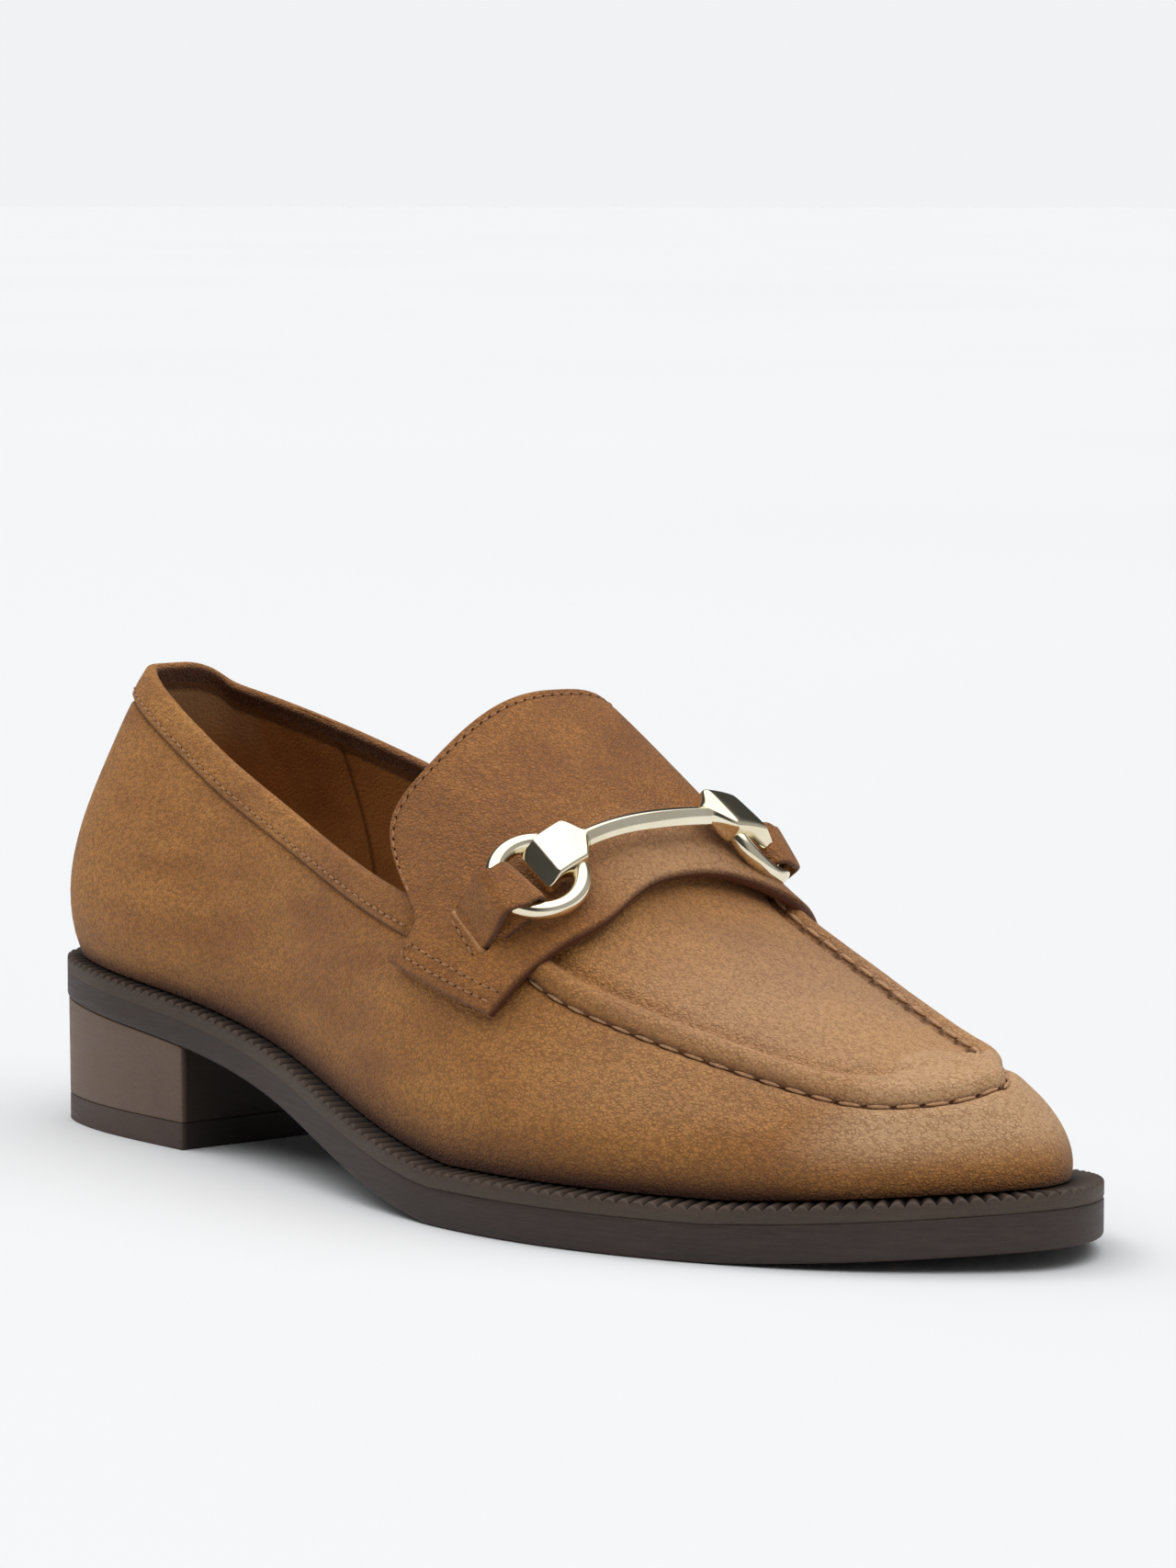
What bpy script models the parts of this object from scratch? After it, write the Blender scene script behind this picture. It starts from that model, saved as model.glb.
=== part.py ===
"""Loafer with a metal bit, right shoe, standing empty on its sole.

+X runs to the toe, -Y is the outer (lateral) side, +Z is up.  Sizes are in millimetres, and the
objects are made in metres.  The origin is on the floor, in the middle of the sole's plan.
"""
import math

import bmesh
import bpy
import numpy as np
from mathutils import Matrix, Vector

MM = 0.001
QUARTER_TURN = math.pi / 2.0

# Driving sizes of the sole
LENGTH = 262.0            # heel back to toe tip
LIFT = 5.2                # top lift, the layer that touches the floor
BREAST_X = 57.0           # front wall of the heel
HEEL_INSET = 0.3          # heel block under the edge of the outsole
HEEL_TAPER = 0.5          # the same at the floor
OUTSOLE_HEEL = 5.0        # outsole thickness under the heel seat
OUTSOLE_FORE = 6.8        # outsole thickness under the forefoot
WELT_THICK = 3.4
WELT_WIDTH = 17.0
WELT_RIM = 0.6            # rounded upper edge
RIB_COUNT = 102
RIB_DEPTH = 0.8           # ribs across the shelf outside the upper
RIB_REACH = 0.85          # share of the shelf that they cover
EDGE_ROUND = 0.9          # lower edge of the outsole and of the lift
INSOLE_THICK = 3.0
INSOLE_CLEAR = 0.8        # between the insole's edge and the upper
GAP = 0.3                 # between pieces that rest on each other

# Driving sizes of the upper
WALL = 1.9
HEEL_POLE_X = 26.0        # the sections fan out around these two points of the crest
TOE_POLE_X = 226.0
POLE_SOFTNESS = 6.0
BULGE_REACH = 0.62        # share of a section's height that swells
BULGE_PEAK = 6.75         # makes the swell reach its full size at a third of that
COLLAR_END_X = 132.0      # the collar dives under the saddle here
THROAT_X = 152.0          # from here forwards the upper is closed over the foot
BAND_WIDTH = 6.9
BAND_STEP = 0.9
BAND_HALF = 1.0           # half width of the slope up to the band
BAND_FADE_X = 122.0
RIDGE_HALF = 3.0          # moccasin seam, half width and height
RIDGE_HEIGHT = 2.4
RIDGE_UP = 3.0            # middle of the ridge above its stitched line
RIDGE_BACK_X = 163.0
RIDGE_FULL_X = 174.0

# Driving sizes of the saddle and the bit
SADDLE_THICK = 2.4
SADDLE_GAP = 0.5
SADDLE_LIFT = 1.2         # extra at the front edge, which bridges the moccasin seam
WING_LOW = 46.0           # height of the wing's lower edge at its back
WING_BACK_X = 131.0
WING_SLOPE = -0.233
BIT_X = 157.8
BIT_S = -6.0              # the bit's middle lies a little to the outer side of the crest
RING_X = 158.6
RING_S = 25.0             # from the bit's middle to the middle of a ring, along the skin
RING_RADIUS = 8.2
RING_TILT = 6.0           # degrees, so that the ring dips into the bar's block
RING_TURN = 8.0           # degrees, so that the ring's toe side lies closer
RING_WIRE = 1.75
TAB_THICK = 1.2
TAB_WIDTH = 10.0
TAB_LENGTH = 14.6
TAB_TURN = 22.0           # degrees, from straight down towards the heel
BAR_HALF = 24.5           # from its middle to its end, along the skin
SADDLE_TOP = SADDLE_GAP + SADDLE_THICK
RING_HEIGHT = SADDLE_GAP + TAB_THICK + GAP + RING_WIRE


class Sections:
    """A short table with a row for each section, read smoothly between the rows."""

    def __init__(self, columns, *rows):
        names = columns.split()
        values = np.array(rows, dtype=float)
        self.key = values[:, 0]
        self.columns = {}
        for index, name in enumerate(names[1:], start=1):
            column = values[:, index]
            self.columns[name] = (column, self.bends(column))

    def bends(self, column):
        """Second derivatives of the natural cubic spline through one column."""
        step = np.diff(self.key)
        count = len(self.key)
        matrix = np.eye(count)
        right = np.zeros(count)
        slope = np.diff(column) / step
        for row in range(1, count - 1):
            matrix[row, row - 1:row + 2] = step[row - 1], 2.0 * (step[row - 1] + step[row]), step[row]
            right[row] = 6.0 * (slope[row] - slope[row - 1])
        return np.linalg.solve(matrix, right)

    def at(self, name, key):
        column, bend = self.columns[name]
        key = np.clip(np.asarray(key, dtype=float), self.key[0], self.key[-1])
        low = np.clip(np.searchsorted(self.key, key) - 1, 0, len(self.key) - 2)
        step = self.key[low + 1] - self.key[low]
        after = (key - self.key[low]) / step
        before = 1.0 - after
        curve = (before ** 3 - before) * bend[low] + (after ** 3 - after) * bend[low + 1]
        return before * column[low] + after * column[low + 1] + curve * step ** 2 / 6.0


def turn_of(x):
    """Angle that puts sections close together at the round ends of the sole."""
    return np.arccos(np.clip(1.0 - 2.0 * np.asarray(x) / LENGTH, -1.0, 1.0))


# Plan of the welt: distances from the heel's middle line
PLAN_ROWS = (
    # x, lateral, medial
    (0.0, 0.0, 0.0),
    (3.0, -18.0, 18.0),
    (13.0, -26.5, 26.0),
    (31.0, -30.5, 29.5),
    (58.0, -31.5, 29.5),
    (89.0, -34.0, 29.0),
    (120.0, -41.0, 33.5),
    (147.0, -46.0, 41.0),
    (173.0, -46.5, 46.0),
    (196.0, -42.0, 47.0),
    (220.0, -32.0, 44.5),
    (241.0, -18.0, 39.3),
    (254.0, -4.0, 30.0),
    (262.0, 13.0, 13.0),
)
PLAN = Sections("turn lateral medial", *[(turn_of(x), lateral, medial) for x, lateral, medial in PLAN_ROWS])

# Side view: underside of the outsole, width of the welt's shelf outside the upper
SIDE = Sections(
    "x under shelf",
    (0.0, 26.0, 3.0),
    (30.0, 23.5, 3.0),
    (62.0, 20.0, 3.2),
    (90.0, 14.5, 3.6),
    (115.0, 8.0, 4.2),
    (138.0, 2.6, 4.8),
    (160.0, -0.6, 5.2),
    (205.0, -0.6, 5.5),
    (230.0, 0.9, 5.6),
    (262.0, 3.9, 6.1),
)

# The last: crest over the foot and its swing to the inner side, how square the sections are at
# their sides (outer and inner) and their roof, and how far they swell over the feather line
LAST = Sections(
    "x crest swing outer inner roof outer_swell inner_swell",
    (0.0, 108.0, 0.0, 1.05, 1.05, 2.5, 2.8, 2.8),
    (40.0, 108.5, 0.0, 1.05, 1.05, 2.5, 2.4, 2.4),
    (80.0, 107.0, 2.0, 1.40, 1.50, 2.4, 1.6, 2.2),
    (100.0, 103.5, 4.0, 1.90, 2.50, 2.35, 1.2, 2.5),
    (120.0, 95.0, 6.0, 2.05, 3.80, 2.3, 1.0, 2.4),
    (140.0, 81.0, 6.0, 2.40, 4.10, 2.3, 1.0, 2.2),
    (158.0, 67.0, 6.0, 2.65, 3.90, 2.35, 1.0, 2.0),
    (168.0, 58.5, 6.2, 2.65, 3.75, 2.4, 1.0, 1.8),
    (180.0, 52.0, 7.0, 2.55, 3.55, 2.4, 1.0, 1.5),
    (200.0, 43.8, 9.0, 2.40, 3.05, 2.4, 1.0, 1.2),
    (226.0, 35.0, 12.0, 2.15, 2.30, 2.4, 1.0, 0.6),
    (262.0, 28.0, 13.0, 1.90, 1.90, 2.3, 0.5, 0.5),
)

# Where the moccasin seam runs: share of the way in from the feather line to the crest
SEAM = Sections(
    "x outer inner",
    (140.0, 0.20, 0.18),
    (170.0, 0.205, 0.27),
    (190.0, 0.235, 0.28),
    (205.0, 0.26, 0.28),
    (225.0, 0.265, 0.31),
    (240.0, 0.23, 0.41),
    (250.0, 0.25, 0.45),
    (257.0, 0.30, 0.43),
    (262.0, 0.37, 0.37),
)

# Height of the collar's edge, on the outer and the inner side
COLLAR = Sections(
    "x outer inner",
    (0.0, 93.4, 93.4),
    (6.0, 93.4, 89.6),
    (12.0, 92.7, 88.0),
    (20.0, 91.2, 86.7),
    (40.0, 85.0, 82.9),
    (60.0, 77.4, 78.4),
    (80.0, 71.1, 72.8),
    (100.0, 65.5, 66.0),
    (120.0, 60.3, 60.4),
    (140.0, 56.2, 56.2),
)

# Saddle and tongue in one piece: share of the way from the crest to the wing's lower edge
SADDLE = Sections(
    "share back front",
    (0.0, 124.2, 168.0),
    (0.20, 124.2, 168.5),
    (0.35, 124.0, 170.0),
    (0.50, 123.6, 171.0),
    (0.60, 123.4, 170.5),
    (0.66, 124.0, 169.8),
    (0.71, 126.0, 169.2),
    (0.75, 128.0, 168.7),
    (0.79, 132.0, 168.1),
    (0.83, 136.5, 167.4),
    (0.87, 137.5, 166.7),
    (0.93, 135.5, 165.3),
    (1.0, 132.5, 163.5),
)

# Half of the bar, a row for each section: share of its half length, width along the shoe, height,
# and how far it arches over the level of the rings
BAR_ROWS = (
    (0.0, 4.6, 3.2, 0.8),
    (0.20, 4.6, 3.2, 0.6),
    (0.38, 4.5, 3.0, -0.2),
    (0.50, 4.5, 2.8, -1.0),
    (0.57, 4.8, 2.8, -1.3),
    (0.60, 8.6, 4.4, -0.4),
    (0.64, 11.0, 5.2, 0.1),
    (0.96, 11.0, 5.2, 0.1),
    (1.0, 9.4, 4.6, 0.1),
)


def smoothstep(low, high, value):
    share = np.clip((value - low) / (high - low), 0.0, 1.0)
    return share * share * (3.0 - 2.0 * share)


def soft_clamp(value, low, high):
    over_low = np.logaddexp(0.0, (value - low) / POLE_SOFTNESS)
    over_high = np.logaddexp(0.0, (value - high) / POLE_SOFTNESS)
    return low + POLE_SOFTNESS * (over_low - over_high)


def unit(vectors):
    return vectors / np.linalg.norm(vectors, axis=-1, keepdims=True)


# Round the sole: u is 0 at the heel back, 0.5 at the toe tip by the outer side, and 1 at the heel again

def u_of(x, inner):
    share = turn_of(x) / (2.0 * math.pi)
    return np.where(inner, 1.0 - share, share)


def is_inner(u):
    return np.mod(u, 1.0) > 0.5


def edge(u):
    """Plan of the welt's outer edge."""
    u = np.mod(u, 1.0)
    turn = 2.0 * math.pi * np.minimum(u, 1.0 - u)
    x = LENGTH * (1.0 - np.cos(turn)) / 2.0
    y = np.where(is_inner(u), PLAN.at("medial", turn), PLAN.at("lateral", turn))
    return np.stack([x, y], axis=-1)


def inset_edge(u, inset):
    """The edge moved in by an amount, square to itself."""
    step = 1e-4
    along = unit(edge(u + step) - edge(u - step))
    outwards = np.stack([along[..., 1], -along[..., 0]], axis=-1)
    return edge(u) - outwards * np.asarray(inset)[..., None]


def under(x):
    """Underside of the outsole: it lies flat on the floor at the ball."""
    return np.maximum(SIDE.at("under", x), 0.0)


def outsole_thick(x):
    waist_back_x = 60.0
    ball_x = 165.0
    return OUTSOLE_HEEL + (OUTSOLE_FORE - OUTSOLE_HEEL) * smoothstep(waist_back_x, ball_x, x)


def welt_base(x):
    return under(x) + outsole_thick(x) + GAP


def welt_top(x):
    return welt_base(x) + WELT_THICK


def ring_of(u, inset, height):
    """Points round the sole at a given inset, with a height worked out from x."""
    plan = inset_edge(u, inset)
    return np.column_stack([plan, height(plan[:, 0])])


# The last: t runs from 0 at the feather line to a quarter turn at the crest

def by_side(table, u, station, outer="outer", inner="inner"):
    return np.where(is_inner(u), table.at(inner, station), table.at(outer, station))


def squareness(u):
    return by_side(LAST, u, edge(u)[..., 0])


def crest_x(u):
    return soft_clamp(edge(u)[..., 0], HEEL_POLE_X, TOE_POLE_X)


def last(u, t):
    station = edge(u)[..., 0]
    foot = inset_edge(u, SIDE.at("shelf", station))
    spine = crest_x(u)
    crest = np.stack([spine, LAST.at("swing", spine)], axis=-1)
    rise = np.sin(t) ** (2.0 / LAST.at("roof", station))
    inwards = 1.0 - np.maximum(np.cos(t), 0.0) ** (2.0 / squareness(u))
    reach = np.clip(rise / BULGE_REACH, 0.0, 1.0)
    swell = by_side(LAST, u, station, "outer_swell", "inner_swell") * BULGE_PEAK * reach * (1.0 - reach) ** 2
    across = crest - foot
    flat = foot + across * (inwards - swell / np.linalg.norm(across, axis=-1))[..., None]
    low = welt_top(foot[..., 0]) + GAP
    height = low + (LAST.at("crest", spine) - low) * rise
    return np.concatenate([flat, height[..., None]], axis=-1)


def outward(u, t):
    """Unit normal of the last, pointing away from the foot; both sides share it at the crest."""
    step = 1e-3
    around = last(u + step, t) - last(u - step, t)
    up = last(u, np.minimum(t + step, QUARTER_TURN)) - last(u, np.maximum(t - step, 0.0))
    normal = unit(np.cross(around, up))
    spine = crest_x(u) + np.zeros_like(t)
    fall = LAST.at("crest", spine - 1.0) - LAST.at("crest", spine + 1.0)
    crest_normal = unit(np.stack([fall / 2.0, np.zeros_like(fall), np.ones_like(fall)], axis=-1))
    near_crest = smoothstep(QUARTER_TURN - 0.15, QUARTER_TURN - 0.01, t)[..., None]
    return unit(normal + (crest_normal - normal) * near_crest)


def stretch(u, t):
    """Millimetres of skin for each unit of t."""
    step = 1e-3
    return np.linalg.norm(last(u, t + step) - last(u, t - step), axis=-1) / (2.0 * step)


def t_of_height(u, height):
    station = edge(u)[..., 0]
    low = welt_top(station) + GAP
    rise = np.clip((height - low) / (LAST.at("crest", crest_x(u)) - low), 0.0, 1.0)
    return np.arcsin(rise ** (LAST.at("roof", station) / 2.0))


def top_line(u):
    """Upper edge: the collar at the sides, and the crest from the throat forwards."""
    station = edge(u)[..., 0]
    collar = t_of_height(u, by_side(COLLAR, u, station))
    closed = smoothstep(COLLAR_END_X, THROAT_X, station)
    return collar + (QUARTER_TURN - collar) * closed


def seam_line(u):
    """Middle of the moccasin ridge at the front, lower edge of the collar band at the back."""
    station = edge(u)[..., 0]
    band = t_of_height(u, by_side(COLLAR, u, station) - BAND_WIDTH)
    seam = np.arccos((1.0 - by_side(SEAM, u, station)) ** (squareness(u) / 2.0))
    front = smoothstep(COLLAR_END_X, THROAT_X, station)
    seam = seam + RIDGE_UP / stretch(u, seam)
    middle = band + (seam - band) * front
    half = (BAND_HALF + (RIDGE_HALF - BAND_HALF) * front) / stretch(u, middle)
    return middle, half


def raised_by(u, t, middle, half):
    """Height of the moccasin ridge and of the collar band over the last."""
    station = edge(u)[..., 0]
    across = np.clip((t - middle) / half, -1.0, 1.0)
    ridge = RIDGE_HEIGHT * smoothstep(RIDGE_BACK_X, RIDGE_FULL_X, station)
    band = BAND_STEP * (1.0 - smoothstep(BAND_FADE_X, WING_BACK_X, station))
    return ridge * np.cos(across * QUARTER_TURN) ** 2 + band * smoothstep(-1.0, 1.0, across)


WALL_ROWS = 0.5           # share of the rows below the seam or the band, and up to its upper side
SEAM_ROWS = 0.75


def skin(u, v, outside):
    """A point of the upper's outer or inner face.  Rows of v follow the seam and the band."""
    middle, half = seam_line(u)
    top = top_line(u)
    below = middle - half
    above = np.minimum(middle + half, top)
    t = below * np.clip(v / WALL_ROWS, 0.0, 1.0)
    t = t + (above - below) * np.clip((v - WALL_ROWS) / (SEAM_ROWS - WALL_ROWS), 0.0, 1.0)
    t = t + (top - above) * np.clip((v - SEAM_ROWS) / (1.0 - SEAM_ROWS), 0.0, 1.0)
    if outside:
        return last(u, t) + outward(u, t) * raised_by(u, t, middle, half)[..., None]
    inside = last(u, t) - outward(u, t) * WALL
    floor = last(u, np.zeros_like(t))[..., 2]
    inside[..., 2] = np.maximum(inside[..., 2], floor)
    return inside


DOWN_TO_FEATHER = np.linspace(QUARTER_TURN, 0.02, 80)


def on_instep(x, s, height):
    """A point over the instep: station x, distance s down from the crest, minus to the outer side."""
    x, s, height = [np.ravel(value) for value in np.broadcast_arrays(x, s, height)]
    u = u_of(x, s > 0.0)
    lines = last(u[:, None], np.tile(DOWN_TO_FEATHER, (len(u), 1)))
    steps = np.linalg.norm(np.diff(lines, axis=1), axis=2)
    runs = np.concatenate([np.zeros((len(u), 1)), np.cumsum(steps, axis=1)], axis=1)
    t = np.array([np.interp(abs(far), run, DOWN_TO_FEATHER) for far, run in zip(s, runs)])
    return last(u, t) + outward(u, t) * height[:, None]


def wing_reach(x, inner):
    """Distance along the skin from the crest to the wing's lower edge."""
    u = u_of(x, inner)
    low = WING_LOW + WING_SLOPE * (x - WING_BACK_X)
    ends = t_of_height(u, low)
    share = np.linspace(0.0, 1.0, 60)
    t = QUARTER_TURN + (ends - QUARTER_TURN)[:, None] * share
    lines = last(u[:, None], t)
    return np.linalg.norm(np.diff(lines, axis=1), axis=2).sum(axis=1)


def saddle_lift(share, along):
    """The front edge stands off the vamp, except at the ends of the wings."""
    return SADDLE_LIFT * smoothstep(0.7, 1.0, along) * smoothstep(1.0, 0.8, share)


def saddle_skin(across, along, height):
    """A point of the saddle: across from -1 to 1, along from its back edge to its front edge."""
    share = np.abs(across)
    back = SADDLE.at("back", share)
    x = back + (SADDLE.at("front", share) - back) * along
    return on_instep(x, across * wing_reach(x, across > 0.0), height + saddle_lift(share, along))


def on_saddle(x, s):
    """A point on top of the saddle: station x, distance s down from the crest."""
    x, s = [np.ravel(value) for value in np.broadcast_arrays(x, s)]
    share = np.abs(s) / wing_reach(x, s > 0.0)
    back = SADDLE.at("back", share)
    along = (x - back) / (SADDLE.at("front", share) - back)
    return on_instep(x, s, SADDLE_TOP + saddle_lift(share, along))


# Mesh helpers

ALL_ROUND = edge(np.linspace(0.0, 1.0, 400))
CENTRE = np.array([LENGTH / 2.0, (ALL_ROUND[:, 1].min() + ALL_ROUND[:, 1].max()) / 2.0, 0.0])


def place(points):
    """From the last's own millimetres to metres about the origin."""
    return (np.asarray(points) - CENTRE) * MM


def new_object(name, bm, material):
    bmesh.ops.recalc_face_normals(bm, faces=bm.faces[:])
    mesh = bpy.data.meshes.new(name)
    bm.to_mesh(mesh)
    bm.free()
    mesh.shade_smooth()
    mesh.set_sharp_from_angle(angle=math.radians(35.0))
    mesh.materials.append(material)
    obj = bpy.data.objects.new(name, mesh)
    bpy.context.scene.collection.objects.link(obj)
    return obj


def add_material(name, colour, roughness, metallic=0.0):
    material = bpy.data.materials.new(name)
    material.use_nodes = True
    shader = material.node_tree.nodes["Principled BSDF"]
    shader.inputs["Base Color"].default_value = (*colour, 1.0)
    shader.inputs["Roughness"].default_value = roughness
    shader.inputs["Metallic"].default_value = metallic
    return material


def add_walls(bm, loops):
    """Quads between each ring of vertices and the next."""
    count = len(loops[0])
    for low, high in zip(loops, loops[1:]):
        for index in range(count):
            after = (index + 1) % count
            bm.faces.new((low[index], low[after], high[after], high[index]))


def add_cap(bm, loop):
    """Close a ring with strips that run straight across, from one side to the other."""
    end = len(loop) - 1
    for index in range(len(loop) // 2 - 1):
        bm.faces.new((loop[index], loop[index + 1], loop[end - index - 1], loop[end - index]))


def add_rings(bm, rings):
    return [[bm.verts.new(point) for point in place(ring)] for ring in rings]


def stack(name, rings, material):
    """A solid from rings of points, one above the other."""
    bm = bmesh.new()
    loops = add_rings(bm, rings)
    add_walls(bm, loops)
    add_cap(bm, loops[0])
    add_cap(bm, loops[-1])
    return new_object(name, bm, material)


def add_sheet(bm, columns, rows, point, rim):
    """A grid bent into place by a function of two shares; its lower and upper edges get a rim number."""
    sheet = bmesh.ops.create_grid(bm, x_segments=columns, y_segments=rows, size=0.5)["verts"]
    shares = np.array([vert.co for vert in sheet])[:, :2] + 0.5
    on_edge = 1e-4
    for vert, share, co in zip(sheet, shares, place(point(shares[:, 0], shares[:, 1]))):
        vert.co = co
        vert[rim] = int(share[1] < on_edge) + 2 * int(share[1] > 1.0 - on_edge)


# Pieces of the sole

AROUND = 96
SOLE_U = (np.arange(AROUND) + 0.5) / AROUND


def make_outsole(material):
    flush = np.zeros(AROUND)
    rings = [
        ring_of(SOLE_U, flush + EDGE_ROUND, under),
        ring_of(SOLE_U, flush, lambda x: under(x) + EDGE_ROUND),
        ring_of(SOLE_U, flush, lambda x: under(x) + outsole_thick(x)),
    ]
    return stack("outsole", rings, material)


def make_welt(material):
    """A strip round the sole on which the upper stands, with ribs across its shelf."""
    count = 2 * RIB_COUNT
    u = (np.arange(count) + 0.5) / count
    flush = np.zeros(count)
    inner = np.full(count, WELT_WIDTH)
    notch = np.where(np.arange(count) % 2 == 0, 0.0, RIB_DEPTH)
    bm = bmesh.new()
    loops = add_rings(bm, [
        ring_of(u, inner, welt_base),
        ring_of(u, flush, welt_base),
        ring_of(u, flush, lambda x: welt_top(x) - WELT_RIM),
        ring_of(u, flush + WELT_RIM, lambda x: welt_top(x) - notch / 2.0),
        ring_of(u, RIB_REACH * SIDE.at("shelf", edge(u)[:, 0]), lambda x: welt_top(x) - notch),
        ring_of(u, inner, welt_top),
    ])
    add_walls(bm, loops + loops[:1])
    return new_object("welt", bm, material)


HEEL_POINTS = 40


def heel_ring(inset, height):
    """A ring round the heel, with a straight breast."""
    breast = float(u_of(BREAST_X, False))
    u = np.mod(np.linspace(-breast, breast, HEEL_POINTS), 1.0)
    ring = ring_of(u, np.full(HEEL_POINTS, inset), height)
    ring[[0, -1], 0] = BREAST_X
    return ring


def level_at(height):
    return lambda x: np.full(len(x), height)


def make_heel_block(material):
    rings = [
        heel_ring(HEEL_TAPER, level_at(LIFT + GAP)),
        heel_ring(HEEL_INSET, lambda x: under(x) - GAP),
    ]
    return stack("heel_block", rings, material)


def make_heel_lift(material):
    rings = [
        heel_ring(HEEL_TAPER + EDGE_ROUND, level_at(0.0)),
        heel_ring(HEEL_TAPER, level_at(EDGE_ROUND)),
        heel_ring(HEEL_TAPER, level_at(LIFT)),
    ]
    return stack("heel_lift", rings, material)


def make_insole(material):
    inset = SIDE.at("shelf", edge(SOLE_U)[:, 0]) + WALL + INSOLE_CLEAR
    rings = [
        ring_of(SOLE_U, inset, lambda x: welt_top(x) + GAP),
        ring_of(SOLE_U, inset, lambda x: welt_top(x) + GAP + INSOLE_THICK),
    ]
    return stack("insole", rings, material)


# Pieces of the upper

def make_upper(material):
    columns = 80
    outer_rows = 16
    inner_rows = 12
    start = 0.5 / columns
    bm = bmesh.new()
    rim = bm.verts.layers.int.new("rim")
    add_sheet(bm, columns, outer_rows, lambda u, v: skin(u + start, v, True), rim)
    add_sheet(bm, columns, inner_rows, lambda u, v: skin(u + start, v, False), rim)
    bmesh.ops.remove_doubles(bm, verts=bm.verts[:], dist=1e-6)
    for number in (1, 2):
        free = [e for e in bm.edges if e.is_boundary and all(vert[rim] == number for vert in e.verts)]
        bmesh.ops.bridge_loops(bm, edges=free)
    return new_object("upper", bm, material)


def make_saddle(material):
    """Saddle and tongue: one leather, from wing to wing, with the tongue behind it."""
    columns = 32
    rows = 10
    bm = bmesh.new()
    rim = bm.verts.layers.int.new("rim")
    for height in (SADDLE_GAP, SADDLE_GAP + SADDLE_THICK):
        add_sheet(bm, columns, rows, lambda a, b: saddle_skin(2.0 * a - 1.0, b, height), rim)
    bmesh.ops.bridge_loops(bm, edges=[e for e in bm.edges if e.is_boundary])
    return new_object("saddle_tongue", bm, material)


# The bit.  A ring's own axes run down the side of the foot, towards the toe, and out of the leather

def ring_matrix(side):
    """From a ring's own millimetres to metres about the origin; side is -1 outer, 1 inner."""
    s = BIT_S + side * RING_S
    reach = TAB_WIDTH / 2.0
    higher, lower = on_saddle(RING_X, np.array([s - side * reach, s + side * reach]))
    heel, toe = on_saddle(np.array([RING_X - reach, RING_X + reach]), s)
    middle = (heel + toe) / 2.0
    down = Vector(lower - higher).normalized()
    out = down.cross(Vector(toe - heel)).normalized()
    if out.z < 0.0:
        out = -out
    forward = out.cross(down)
    turn = Matrix((down, forward, out)).transposed().to_4x4()
    tilt = Matrix.Rotation(math.radians(-RING_TILT), 4, "Y")
    roll = Matrix.Rotation(math.radians(side * RING_TURN), 4, "X")
    return Matrix.Translation(Vector(place(middle))) @ turn @ tilt @ roll @ Matrix.Scale(MM, 4)


def ring_mesh(side, wire):
    bm = bmesh.new()
    bmesh.ops.create_circle(bm, segments=10, radius=wire)
    bmesh.ops.rotate(bm, verts=bm.verts[:], matrix=Matrix.Rotation(QUARTER_TURN, 3, "X"))
    bmesh.ops.translate(bm, verts=bm.verts[:], vec=(RING_RADIUS, 0.0, 0.0))
    bmesh.ops.spin(bm, geom=bm.verts[:] + bm.edges[:], axis=(0, 0, 1), cent=(0, 0, 0),
                   angle=2.0 * math.pi, steps=26, use_merge=True)
    bmesh.ops.translate(bm, verts=bm.verts[:], vec=(0.0, 0.0, RING_HEIGHT))
    bmesh.ops.transform(bm, matrix=ring_matrix(side), verts=bm.verts[:])
    return bm


def make_ring(name, side, material):
    return new_object(name, ring_mesh(side, RING_WIRE), material)


def make_bar(material):
    """The bar over the instep, with a block at each end that the ring passes through."""
    rows = [(-share, *sizes) for share, *sizes in reversed(BAR_ROWS[1:])] + list(BAR_ROWS)
    share, width, height, arch = np.array(rows).T
    s = BIT_S + share * BAR_HALF
    level = SADDLE_TOP + RING_HEIGHT + arch
    middle = on_instep(BIT_X, s, level)
    out = unit(on_instep(BIT_X, s, level + 1.0) - middle)
    along = unit(np.gradient(middle, s, axis=0))
    forward = np.cross(out, along)
    corner = 0.3
    outline = [(0.5, 0.5 - corner), (0.5 - corner, 0.5), (corner - 0.5, 0.5), (-0.5, 0.5 - corner),
               (-0.5, corner - 0.5), (corner - 0.5, -0.5), (0.5 - corner, -0.5), (0.5, corner - 0.5)]
    rings = []
    for index in range(len(s)):
        wide = forward[index] * width[index]
        high = out[index] * height[index]
        rings.append(np.array([middle[index] + wide * a + high * b for a, b in outline]))
    bar = stack("bit_bar", rings, material)
    for name, side in (("outer", -1.0), ("inner", 1.0)):
        cutter = new_object("ring_hole_" + name, ring_mesh(side, RING_WIRE + GAP), material)
        cutter.hide_render = True
        cutter.display_type = "WIRE"
        cut = bar.modifiers.new("ring_hole_" + name, "BOOLEAN")
        cut.operation = "DIFFERENCE"
        cut.object = cutter
    return bar


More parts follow.
